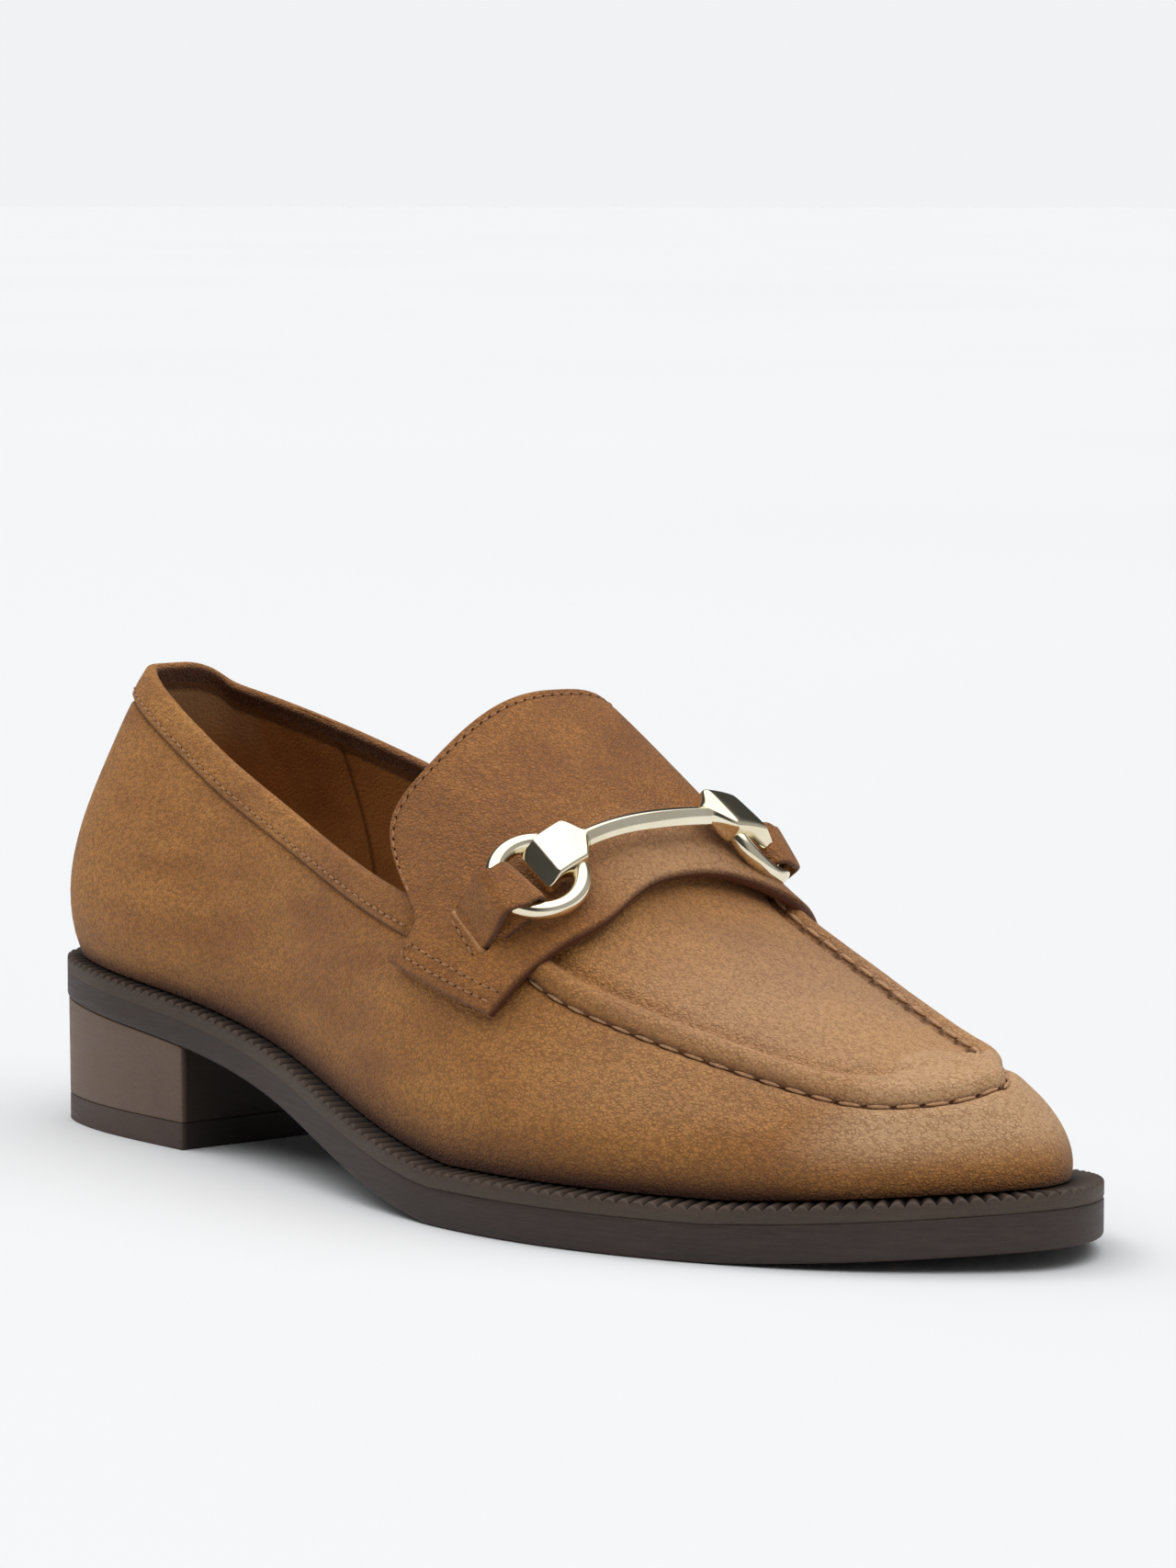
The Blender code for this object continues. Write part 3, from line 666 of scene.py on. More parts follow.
NUBUCK = nubuck("tan_nubuck_upper", tint(198, 136, 64), tint(159, 100, 42), tint(110, 64, 26))
SADDLE_NUBUCK = nubuck("tan_nubuck_saddle", tint(190, 126, 55), tint(152, 94, 38), tint(104, 59, 22))
CUT_EDGE = smooth_leather("dyed_cut_edge", tint(132, 78, 52), tint(104, 58, 38), BURNISH_AND_SHADE, BARE, 0.55)
LINING = smooth_leather("brown_lining", tint(194, 139, 80), tint(165, 114, 63), tint(80, 48, 24),
                        tint(190, 156, 120), 0.5)
SOCK = smooth_leather("tan_sock_lining", tint(160, 112, 68), tint(138, 92, 52), BURNISH_AND_SHADE, BARE, 0.5)
SOLE = sole_stuff("brown_sole", tint(72, 59, 53), tint(54, 44, 40), 0.5, 0.7)
WELT = sole_stuff("brown_welt", tint(86, 71, 60), tint(67, 54, 46), 0.52, 0.5)
HEEL = sole_stuff("brown_heel", tint(122, 101, 86), tint(104, 85, 72), 0.52, 0.35)
TOP_LIFT = sole_stuff("brown_top_lift", tint(92, 76, 69), tint(76, 62, 56), 0.55, 0.35)
GOLD = plating()
SEAM_THREAD = thread("tan_seam_thread", (206, 158, 112))
FINE_THREAD = thread("tan_fine_thread", (182, 130, 84))
HOLE_SHADE = dark_hole("needle_hole_shade", (72, 40, 22))


# Making pieces

def bent_grid(bm, columns, rows, point, material=0):
    """A grid bent into place by a function of two shares that gives millimetres."""
    known = len(bm.faces)
    verts = bmesh.ops.create_grid(bm, x_segments=columns, y_segments=rows, size=0.5)["verts"]
    shares = np.array([vert.co[:2] for vert in verts]) + 0.5
    for vert, co in zip(verts, place(point(shares[:, 0], shares[:, 1]))):
        vert.co = co
    bm.faces.ensure_lookup_table()
    for face in bm.faces[known:]:
        face.material_index = material
    return verts, shares


def new_shape():
    """An empty mesh whose vertices can say where the finish is dark with wear and painted shade, cut raw, or
    paler with painted light.
    """
    bm = bmesh.new()
    for name in ("worn", "raw", "brushed"):
        bm.verts.layers.float.new(name)
    return bm


def put_marks(bm, verts, **marks):
    for name, values in marks.items():
        layer = bm.verts.layers.float[name]
        for vert, value in zip(verts, values):
            vert[layer] = value


def weld(bm):
    bmesh.ops.remove_doubles(bm, verts=bm.verts[:], dist=2e-6)
    bmesh.ops.dissolve_degenerate(bm, edges=bm.edges[:], dist=1e-7)


def close_holes(bm):
    bmesh.ops.holes_fill(bm, edges=[e for e in bm.edges if e.is_boundary], sides=0)


def mesh_of(name, bm, materials):
    mesh = bpy.data.meshes.new(name)
    bm.to_mesh(mesh)
    bm.free()
    for material in materials:
        mesh.materials.append(material)
    return mesh


def new_object(name, data):
    made = bpy.data.objects.new(name, data)
    bpy.context.scene.collection.objects.link(made)
    return made


def finish_piece(name, bm, materials, nodes=(), sharp=40.0, outward_faces=True):
    """Turn a bmesh into a piece of the shoe that rides on it and stands for its CAD nodes."""
    if outward_faces:
        bmesh.ops.recalc_face_normals(bm, faces=bm.faces[:])
    mesh = mesh_of(name, bm, materials)
    mesh.shade_smooth()
    mesh.set_sharp_from_angle(angle=math.radians(sharp))
    piece = new_object(name, mesh)
    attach(piece, "root")
    if nodes:
        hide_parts(*nodes)
    return piece


# Sole, welt and heel

def by_run(share):
    """The edge's u for an even share of the way round."""
    u = np.linspace(0.0, 1.0, 4001)
    run = runs(edge(u))
    return np.interp(share, run / run[-1], u), run[-1]


def flat(level):
    return lambda x: np.full(len(x), level)


def profile_point(u, v, rows):
    """A point of a profile, drawn as rows: share of the way to the spine, inset over x, height over x."""
    row = np.rint(v * (len(rows) - 1)).astype(int)
    points = np.zeros((len(u), 3))
    for index, (spine_share, inset, height) in enumerate(rows):
        pick = row == index
        rim = inset_edge(u[pick], inset(edge(u[pick])[:, 0]))
        spine = np.stack([crest_x(u[pick]), np.zeros(len(rim))], axis=-1)
        plan = rim + (spine - rim) * spine_share
        points[pick] = np.column_stack([plan, height(plan[:, 0])])
    return points


def quarter_arc(radius, steps=4):
    """Inset and drop of the points of a rounded edge, from its side to its flat."""
    turns = [QUARTER_TURN * step / steps for step in range(steps + 1)]
    return [(radius * (1.0 - math.cos(a)), radius * (1.0 - math.sin(a))) for a in turns]


def split_line(x):
    """The fine line between sole and welt: it shows at the forefoot."""
    return 0.28 * smoothstep(110.0, 180.0, x)


def make_sole():
    def over(share, extra=0.0):
        return lambda x: under(x) + (outsole_thick(x) + 0.9 * GAP) * share + extra

    inner = (0.15, 0.4, 0.7, 1.0)
    rows = [(share, flat(0.0), under) for share in reversed(inner)]
    rows += [(0.0, flat(inset), over(0.0, drop)) for inset, drop in reversed(quarter_arc(EDGE_ROUND))]
    rows += [(0.0, flat(0.0), over(0.4)), (0.0, flat(0.0), over(0.7)), (0.0, flat(0.0), over(0.94))]
    rows += [(0.0, lambda x: 0.4 * split_line(x), over(0.975)), (0.0, split_line, over(1.0))]
    rows += [(share, flat(0.0), over(1.0)) for share in inner]
    bm = new_shape()
    verts = bent_grid(bm, 400, len(rows) - 1, lambda a, v: profile_point(by_run(a)[0], v, rows))[0]
    points = np.array([vert.co for vert in verts]) / MM + CENTRE
    # Painted shade: near black on the underside of the arch, between the heel's breast and the ball.
    beneath = smoothstep(1.0, 0.2, points[:, 2] - under(points[:, 0]))
    arch = smoothstep(BREAST_X - 6.0, BREAST_X + 4.0, points[:, 0]) * smoothstep(150.0, 115.0, points[:, 0])
    put_marks(bm, verts, worn=0.85 * beneath * arch)
    weld(bm)
    return finish_piece("sole", bm, [SOLE], ["outsole"])


def make_welt():
    """The strip that the upper stands on: its top is a row of round teeth all the way round."""
    count = round(by_run(0.0)[1] / RIB_PITCH)
    samples = 8

    def part(share):
        return lambda x: share * SIDE.at("shelf", x)

    def below_top(drop):
        return lambda x: welt_top(x) - drop

    rows = [(0.0, flat(WELT_WIDTH), welt_base), (0.0, split_line, welt_base)]
    rows += [(0.0, lambda x: 0.4 * split_line(x), lambda x: welt_base(x) + 0.2)]
    rows += [(0.0, flat(0.0), lambda x: welt_base(x) + 0.5), (0.0, flat(0.0), below_top(1.5))]
    rows += [(0.0, flat(inset), below_top(drop)) for inset, drop in quarter_arc(0.7, 3)]
    rows += [(0.0, part(share), below_top(0.0)) for share in (0.35, 0.55, 0.75, 0.9, 1.05, 1.2)]
    rows += [(0.0, flat(WELT_WIDTH), below_top(0.0)), (0.0, flat(WELT_WIDTH), welt_base)]
    cut = np.array([0.0, 0.0, 0.0, 0.0, 0.0, 0.25, 0.6, 0.9, 1.0, 1.0, 1.0, 1.0, 1.0, 0.8, 0.0, 0.0, 0.0])

    def notch(a):
        return 1.0 - np.abs(np.sin(math.pi * count * a)) ** 0.8

    def point(a, v):
        points = profile_point(by_run(a)[0], v, rows)
        points[:, 2] -= RIB_DEPTH * notch(a) * cut[np.rint(v * (len(rows) - 1)).astype(int)]
        return points

    bm = new_shape()
    verts, shares = bent_grid(bm, count * samples, len(rows) - 1, point)
    row = np.rint(shares[:, 1] * (len(rows) - 1)).astype(int)
    # Painted shade: darker along the shelf towards the upper and in the notches between the teeth.
    inner = np.interp(row, [7, 9, 13], [0.0, 0.25, 0.9])
    in_notch = 0.8 * notch(shares[:, 0]) ** 1.5 * cut[row] * (row > 6)
    put_marks(bm, verts, worn=portion(inner + in_notch))
    weld(bm)
    return finish_piece("ribbed_welt", bm, [WELT], ["welt"], sharp=60.0)


BACK_SHARE = 0.75         # share of the heel's way round that its curved back takes


def heel_outline(a, inset):
    """Round the back of the heel and straight across its breast."""
    breast = float(u_of(BREAST_X, False))
    u = np.mod(breast * (2.0 * portion(a / BACK_SHARE) - 1.0), 1.0)
    plan = inset_edge(u, np.full(len(a), inset))
    corner = inset_edge(np.array([1.0 - breast, breast]), np.array([inset, inset]))[:, 1]
    is_start = a <= 0.0       # the way round starts at the corner where it ends
    across = np.where(is_start, 1.0, portion((a - BACK_SHARE) / (1.0 - BACK_SHARE)))
    on_breast = (a > BACK_SHARE) | is_start
    plan[:, 1] = np.where(on_breast, corner[1] + (corner[0] - corner[1]) * across, plan[:, 1])
    plan[:, 0] = np.where(on_breast, BREAST_X, np.minimum(plan[:, 0], BREAST_X))
    return plan


def make_heel_piece(name, bottom, top, insets, material, node):
    """A closed block of the heel between two levels, with softened edges and painted shade on its breast."""
    def point(a, v):
        low = heel_outline(a, insets[0])
        high = heel_outline(a, insets[1])
        plan = low + (high - low) * v[:, None]
        return np.column_stack([plan, bottom(plan[:, 0]) * (1.0 - v) + top(plan[:, 0]) * v])

    bm = new_shape()
    verts, shares = bent_grid(bm, 160, 6, point)
    # Painted shade on the breast.
    put_marks(bm, verts, worn=0.8 * ((shares[:, 0] > BACK_SHARE + 0.003) & (shares[:, 0] < 0.997)))
    weld(bm)
    close_holes(bm)
    bmesh.ops.recalc_face_normals(bm, faces=bm.faces[:])
    turned = [e for e in bm.edges if len(e.link_faces) == 2 and e.calc_face_angle() > math.radians(40.0)]
    bmesh.ops.bevel(bm, geom=turned, offset=0.3 * MM, affect="EDGES", segments=3, profile=0.5, material=-1)
    return finish_piece(name, bm, [material], [node])


def make_sock():
    """The sock lining over the insole board, with a rounded edge."""
    def over(extra):
        return lambda x: welt_top(x) + GAP + extra

    def inside(extra):
        return lambda x: SIDE.at("shelf", x) + WALL + INSOLE_CLEAR + extra

    rows = [(1.0, inside(0.0), over(0.0)), (0.5, inside(0.0), over(0.0))]
    rows += [(0.0, inside(0.0), over(0.0)), (0.0, inside(0.0), over(1.6))]
    rows += [(0.0, inside(inset), over(INSOLE_THICK - drop)) for inset, drop in quarter_arc(1.2)]
    rows += [(share, inside(0.0), over(INSOLE_THICK)) for share in (0.15, 0.4, 0.7, 1.0)]
    bm = new_shape()
    bent_grid(bm, 240, len(rows) - 1, lambda a, v: profile_point(by_run(a)[0], v, rows))
    weld(bm)
    return finish_piece("sock_lining", bm, [SOCK], ["insole"])


# Upper

def stitch_line(u):
    """The moccasin seam at the front, the lower edge of the collar band at the back."""
    station = station_of(u)
    band = t_of_height(u, by_side(COLLAR, u, station) - BAND_WIDTH)
    seam = np.arccos((1.0 - by_side(SEAM, u, station)) ** (squareness(u) / 2.0))
    return band + (seam - band) * smoothstep(COLLAR_END_X, THROAT_X, station)


FORE_X = 150.0            # the upper's grid is finer in front of this
LINE_U = np.linspace(0.0, 1.0, 4001)
LINE_RUN = runs(last(LINE_U, stitch_line(LINE_U)))
FINER = 1.0 + 1.6 * smoothstep(FORE_X - 15.0, FORE_X + 5.0, station_of(LINE_U[1:]))
FINE_STEPS = np.diff(LINE_RUN) * FINER
FINE_STEPS = (FINE_STEPS + FINE_STEPS[::-1]) / 2.0     # the same on both sides, which meet at the crest
FINE_RUN = np.concatenate([[0.0], np.cumsum(FINE_STEPS)])


def column_u(share):
    return np.interp(np.mod(share, 1.0), FINE_RUN / FINE_RUN[-1], LINE_U)


# Soft creases of the leather: where they are, which way they run, and their size in millimetres
CREASES = np.array([
    # x, y, z, then the direction, then length, width and depth
    (186.0, -4.0, 49.0, 0.25, 0.97, 0.0, 22.0, 5.0, 0.5),
    (198.0, 6.0, 45.0, 0.15, 0.99, 0.0, 26.0, 6.0, 0.4),
    (176.0, -38.0, 30.0, 0.45, 0.2, 0.87, 14.0, 5.0, 0.45),
    (120.0, -38.0, 38.0, 0.5, 0.0, 0.87, 16.0, 6.0, 0.45),
    (62.0, -28.0, 55.0, 0.8, 0.0, -0.6, 22.0, 8.0, 0.6),
    (88.0, -30.0, 44.0, 0.7, 0.0, -0.7, 18.0, 6.0, 0.4),
    (30.0, -27.0, 60.0, 0.5, 0.1, 0.86, 18.0, 8.0, 0.5),
    (178.0, 38.0, 32.0, 0.45, -0.2, 0.87, 14.0, 5.0, 0.5),
    (115.0, 34.0, 42.0, 0.5, 0.0, 0.87, 18.0, 6.0, 0.6),
    (60.0, 27.0, 55.0, 0.8, 0.0, -0.6, 22.0, 8.0, 0.6),
])


def creases(points):
    """How far the leather sinks at a point."""
    depth = np.zeros(len(points))
    for row in CREASES:
        away = points - row[:3]
        along = away @ row[3:6]
        across = np.sqrt(np.maximum((away ** 2).sum(axis=1) - along ** 2, 0.0))
        depth += row[8] * np.exp(-(along / row[6]) ** 2 - (across / row[7]) ** 2)
    return depth


def collar_round(gap, radius):
    """How far a skin turns in over its edge, at a distance from it."""
    share = portion(1.0 - gap / radius)
    return radius * (1.0 - np.sqrt(1.0 - share ** 2))


INNER_ROW = RIDGE_WIDTH - 0.6          # from the stitched line to the stitches on the ridge's inner flank


def run_out(u):
    """From 0 at the sides to 1 at the toe, where the ridge runs out into the apron."""
    station = station_of(u)
    return np.where(is_inner(u), smoothstep(242.0, 254.0, station), smoothstep(222.0, 250.0, station))


def seam_relief(u, gap):
    """The pinched ridge of the moccasin seam, drawn in at each needle hole."""
    half = RIDGE_WIDTH / 2.0
    front = run_out(u)
    run = np.interp(np.mod(u, 1.0), LINE_U, LINE_RUN)
    pull = (0.5 + 0.5 * np.cos(FULL_TURN * run / SEAM_PITCH)) ** 3
    widened = 5.0 * front
    away = np.where(gap < half, (gap - half) / half, (gap - half) / (half + widened))
    corner = is_inner(u) * smoothstep(225.0, 250.0, station_of(u))
    height = RIDGE_HEIGHT * (1.0 - 0.4 * np.maximum(front, corner))
    roll = height * (1.0 - portion(np.abs(away)) ** 2) ** (0.8 + 0.7 * front)
    outer_crease = bell(gap, 0.65) * 0.75 + 0.7 * pull * bell(gap - 0.45, 0.75)
    inner_crease = (0.6 + 0.6 * pull) * bell(gap - INNER_ROW, 0.7) * (1.0 - front) * is_inner(u)
    valley = bell(gap - RIDGE_WIDTH - 0.6 - widened, 1.9) * (1.0 - 0.4 * front)
    valley = valley * np.where(is_inner(u), 0.3, 1.0)
    wall = 0.3 * bell(gap + 2.6, 2.0)
    return roll - outer_crease - inner_crease - valley + wall


ROW_STOPS = (0.0, 0.22, 0.74, 0.92, 1.0)
RIM = (WALL + BAND_STEP) / 2.0
UPPER_COLUMNS = 680
FINE_BELOW = 5.0          # the rows lie closest from here below the stitched line
FINE_ABOVE = 11.0         # to here above it


def rim_of(u):
    """The skin's upper edge, millimetres for each unit of t there, and where the skin starts to turn in."""
    top = top_line(u)
    scale = np.maximum(stretch(u, np.minimum(top, 1.5)), 1.0)
    return top, scale, top - RIM / scale


def turned_in(top, t, scale):
    """How far the skin turns in at the collar's edge; where the upper is closed, it doesn't."""
    return np.where(top < QUARTER_TURN - 1e-6, collar_round((top - t) * scale, RIM), 0.0)


def outer_skin(share, v):
    """Outer face of the upper, where it is darker with burnish and painted shade, and paler with painted
    light.
    """
    u = column_u(share)
    station = station_of(u)
    line = stitch_line(u)
    scale = stretch(u, line)
    top, top_scale, rim = rim_of(u)
    low = line - FINE_BELOW / scale
    high = np.minimum(line + FINE_ABOVE / scale, line + 0.75 * (rim - line))
    stops = [np.zeros_like(u), low, high, rim, top]
    t = np.zeros_like(u)
    for index in range(4):
        start, end = ROW_STOPS[index], ROW_STOPS[index + 1]
        t = t + (stops[index + 1] - stops[index]) * portion((v - start) / (end - start))
    gap = (t - line) * scale
    moccasin = smoothstep(RIDGE_BACK_X, RIDGE_FULL_X, station)
    band = 1.0 - smoothstep(WING_BACK_X, WING_BACK_X + 5.0, station)
    pad = BAND_STEP * smoothstep(-0.3, 1.3, gap) - 0.45 * bell(gap, 0.55) - 0.15 * bell(gap - 1.9, 0.6)
    relief = moccasin * seam_relief(u, gap) + band * pad
    relief = relief - turned_in(top, t, top_scale)
    bare = last(u, t)
    feather = np.maximum(bare[:, 2] - last(u, np.zeros_like(u))[:, 2], 0.0)
    relief = relief - creases(bare) * smoothstep(0.0, 6.0, feather)
    # Darker near the feather line with burnish and painted shade, painted shade over the lower wall, a
    # painted shadow under the collar band's lower edge, painted shade in the seam's creases.
    wide = 0.55 * (1.0 - 0.65 * smoothstep(215.0, 245.0, station))
    wide = wide * (1.0 - 0.6 * smoothstep(80.0, 30.0, station))
    worn = 0.55 * np.exp(-feather / 1.6) + wide * np.exp(-(feather / 10.0) ** 2)
    worn = worn + 0.6 * band * bell(gap, 0.4)
    inner_row = (1.0 - run_out(u)) * is_inner(u) * bell(gap - INNER_ROW, 0.6)
    worn = worn + moccasin * (0.6 * bell(gap - 0.2, 0.5) + 0.5 * inner_row)
    normal = outward(u, t)
    # Painted light: paler on up-facing parts of the vamp, at the toe and across the vamp near station 208.
    brushed = 0.62 * smoothstep(0.45, 0.95, normal[:, 2]) * smoothstep(150.0, 205.0, station)
    brushed = np.maximum(brushed, 0.95 * smoothstep(222.0, 245.0, station) * smoothstep(3.0, 11.0, feather))
    brushed = np.maximum(brushed, 0.3 * bell(station - 208.0, 30.0) * smoothstep(8.0, 17.0, feather))
    return bare + normal * relief[:, None], portion(worn), brushed


BINDING = 0.86            # share of the inside below the turned edge of the collar
INNER_RIM = 0.93
LINING_SEAM_X = 46.0
HEEL_GRIP_X = 22.0


def inner_skin(share, v):
    """Lining side of the upper: painted shade on the turned-in binding and just below it, darker along the
    lining seam, and where the heel grip is.
    """
    u = column_u(share)
    station = station_of(u)
    top, top_scale, rim = rim_of(u)
    t = rim * portion(v / INNER_RIM) + (top - rim) * portion((v - INNER_RIM) / (1.0 - INNER_RIM))
    is_open = top < QUARTER_TURN - 1e-6
    binding = np.where(is_open, 0.4 * smoothstep(BINDING - 0.01, BINDING + 0.01, v), 0.0)
    seam = bell(station - LINING_SEAM_X, 0.9)
    offset = turned_in(top, t, top_scale) + binding * smoothstep(1.0, INNER_RIM, v) - WALL - 0.3 * seam
    inside = last(u, t) + outward(u, t) * offset[:, None]
    inside[:, 2] = np.maximum(inside[:, 2], last(u, np.zeros_like(t))[:, 2])
    below = smoothstep(BINDING, BINDING - 0.02, v)
    # Painted shade on the binding inside the collar and just below it; darker along the lining seam.
    worn = np.where(v > BINDING - 0.03, 0.75 * smoothstep(1.0, 0.965, v), 0.0) + 0.7 * seam * below
    raw = 0.5 * below * smoothstep(HEEL_GRIP_X, HEEL_GRIP_X - 8.0, station) * smoothstep(0.5, 0.75, v)
    return inside, portion(worn), raw


def make_upper():
    start = 0.5 / UPPER_COLUMNS
    bm = new_shape()
    outer, shares = bent_grid(bm, UPPER_COLUMNS, 100, lambda a, v: outer_skin(a + start, v)[0])
    worn, brushed = outer_skin(shares[:, 0] + start, shares[:, 1])[1:]
    put_marks(bm, outer, worn=worn, brushed=brushed)
    feet = {vert for vert, share in zip(outer, shares) if share[1] < 1e-4}
    inner, shares = bent_grid(bm, UPPER_COLUMNS, 32, lambda a, v: inner_skin(a + start, v)[0], 1)
    worn, raw = inner_skin(shares[:, 0] + start, shares[:, 1])[1:]
    put_marks(bm, inner, worn=worn, raw=raw)
    tops = {vert for vert, share in zip(inner, shares) if share[1] > BINDING}
    for face in {face for vert in tops for face in vert.link_faces}:
        if all(vert in tops for vert in face.verts):
            face.material_index = 0
    feet |= {vert for vert, share in zip(inner, shares) if share[1] < 1e-4}
    weld(bm)
    foot_edges = [e for e in bm.edges if e.is_boundary and all(vert in feet for vert in e.verts)]
    bmesh.ops.bridge_loops(bm, edges=foot_edges)
    close_holes(bm)
    return finish_piece("nubuck_upper", bm, [NUBUCK, LINING], ["upper"], sharp=70.0)


# Stitching

def sew(name, rows, pitch, fill, radius, material, hole, slant=0.0, sink=0.3, shift=0.0):
    """Stitches along rows of points with their normals, each a short thread between two needle holes."""
    bm = new_shape()
    holes = []
    for points, normals in rows:
        run = runs(points)
        count = max(1, round(run[-1] / pitch))
        for index in range(count):
            middle = (index + 0.5) * run[-1] / count
            up = Vector(along_row(middle, run, normals)).normalized()
            along = Vector(along_row(middle + 0.3, run, points) - along_row(middle - 0.3, run, points))
            along = (along - up * along.dot(up)).normalized()
            side = up.cross(along)
            turn = Matrix((along, side, up)).transposed().to_4x4()
            size = Matrix.Diagonal((fill * pitch / 2.0 * MM, radius * MM, radius * MM, 1.0))
            centre = along_row(middle, run, points) + np.array(up) * radius * (1.0 - 2.0 * sink)
            lie = Matrix.Translation(Vector(place(centre))) @ turn @ size @ turned(90.0, "Y")
            bmesh.ops.create_uvsphere(bm, u_segments=8, v_segments=6, radius=1.0, matrix=lie)
            end = along_row(middle + 0.5 * run[-1] / count, run, points)
            end = end + np.array(up) * 0.05 + np.array(side) * shift
            oval = Matrix.Rotation(slant, 4, "Z") @ Matrix.Diagonal((hole[0] * MM, hole[1] * MM, MM, 1.0))
            holes.append(Matrix.Translation(Vector(place(end))) @ turn @ oval)
    threads = len(bm.faces)
    # Each needle hole: a dark disc of painted shade.
    for matrix in holes:
        bmesh.ops.create_circle(bm, cap_ends=True, segments=8, radius=1.0, matrix=matrix)
    bm.faces.ensure_lookup_table()
    for face in bm.faces[threads:]:
        face.material_index = 1
    return finish_piece(name, bm, [material, HOLE_SHADE], outward_faces=False)


def upper_row(u, gap, height):
    """A row of points on the upper beside its stitched line."""
    line = stitch_line(u)
    t = line + gap / stretch(u, line)
    normals = outward(u, t)
    return last(u, t) + normals * height, normals


def make_seam_stitches():
    """One row outside the ridge all round the toe, and one inside it along the inner side."""
    back = float(u_of(RIDGE_FULL_X, False))
    outside = upper_row(np.linspace(back, 1.0 - back, 900), 0.05, -0.45)
    inside = upper_row(np.linspace(1.0 - float(u_of(248.0, False)), 1.0 - back, 400), INNER_ROW, 0.55)
    sew("seam_stitches", [outside], SEAM_PITCH, 0.8, 0.36, SEAM_THREAD, (0.5, 0.38),
        sink=0.2, shift=0.25)
    sew("inner_seam_stitches", [inside], SEAM_PITCH, 0.78, 0.42, SEAM_THREAD, (0.6, 0.42),
        sink=0.15, shift=0.25)


def make_collar_stitches():
    last_u = float(u_of(WING_BACK_X + 2.0, False))
    u = np.mod(np.linspace(-last_u, last_u, 1200), 1.0)
    row = upper_row(u, 1.9, BAND_STEP - 0.15)
    sew("collar_stitches", [row], 2.5, 0.72, 0.24, FINE_THREAD, (0.24, 0.15), 0.4)


# The bit's place

RING_HANG = 9.5           # degrees that the inner ring hangs down from its block
RING_SEAT = 8.0           # from the ring's middle to where its block holds it
RING_DROP = 0.7           # how far the inner ring sinks there


def ring_matrix(side):
    """From a ring's own millimetres to metres about the origin; side is -1 outer, 1 inner."""
    s = BIT_S + side * RING_S
    reach = TAB_WIDTH / 2.0
    higher, lower = on_saddle(RING_X, np.array([s - side * reach, s + side * reach]))
    heel, toe = on_saddle(np.array([RING_X - reach, RING_X + reach]), s)
    middle = (heel + toe) / 2.0
    down = Vector(lower - higher).normalized()
    out = down.cross(Vector(toe - heel)).normalized()
    if out.z < 0.0:
        out = -out
    forward = out.cross(down)
    turn = Matrix((down, forward, out)).transposed().to_4x4()
    lie = turn @ turned(-RING_TILT, "Y") @ turned(side * RING_TURN, "X")
    hung = max(side, 0.0)
    hang = Matrix.Translation((-RING_SEAT, 0.0, -RING_DROP * hung)) @ turned(RING_HANG * hung, "Y")
    hang = hang @ Matrix.Translation((RING_SEAT, 0.0, 0.0))
    return Matrix.Translation(Vector(place(middle))) @ lie @ Matrix.Scale(MM, 4) @ hang


SIDES = {"lateral": -1.0, "medial": 1.0}
RING_PLACE = {name: ring_matrix(side) for name, side in SIDES.items()}
STRIP_PLACE = {name: RING_PLACE[name] @ turned(side * TAB_TURN, "Z") for name, side in SIDES.items()}


def by_strip(name, points):
    """Points of the last in a strip's own millimetres: down along it, across it, and outwards."""
    back = np.array(STRIP_PLACE[name].inverted())
    return place(points) @ back[:3, :3].T + back[:3, 3]


# Saddle and tongue

SADDLE_LENGTH = 46.0
SADDLE_REACH = 52.0
SADDLE_ROUND = 0.8
SLOT_DEEP = 1.3
SLOT_LIP = 0.55
SLOT_FAR = 12.7
STRIP_HALF = 5.4
TONGUE_ROW = 1.7          # stitches from the tongue's edge, and how far they sink
TONGUE_SINK = 0.12


def edge_rows(share, length, rim=1.6):
    """Shares with an eighth of the rows in each rim, so that the rounded edges are smooth."""
    inset = rim / length
    return np.interp(share, [0.0, 0.12, 0.88, 1.0], [0.0, inset, 1.0 - inset, 1.0])


def saddle_gaps(across, along):
    """Distances from a point of the saddle to its back, front and lower edges."""
    share = np.abs(across)
    length = saddle_span(share)[1]
    return along * length, (1.0 - along) * length, (1.0 - share) * SADDLE_REACH


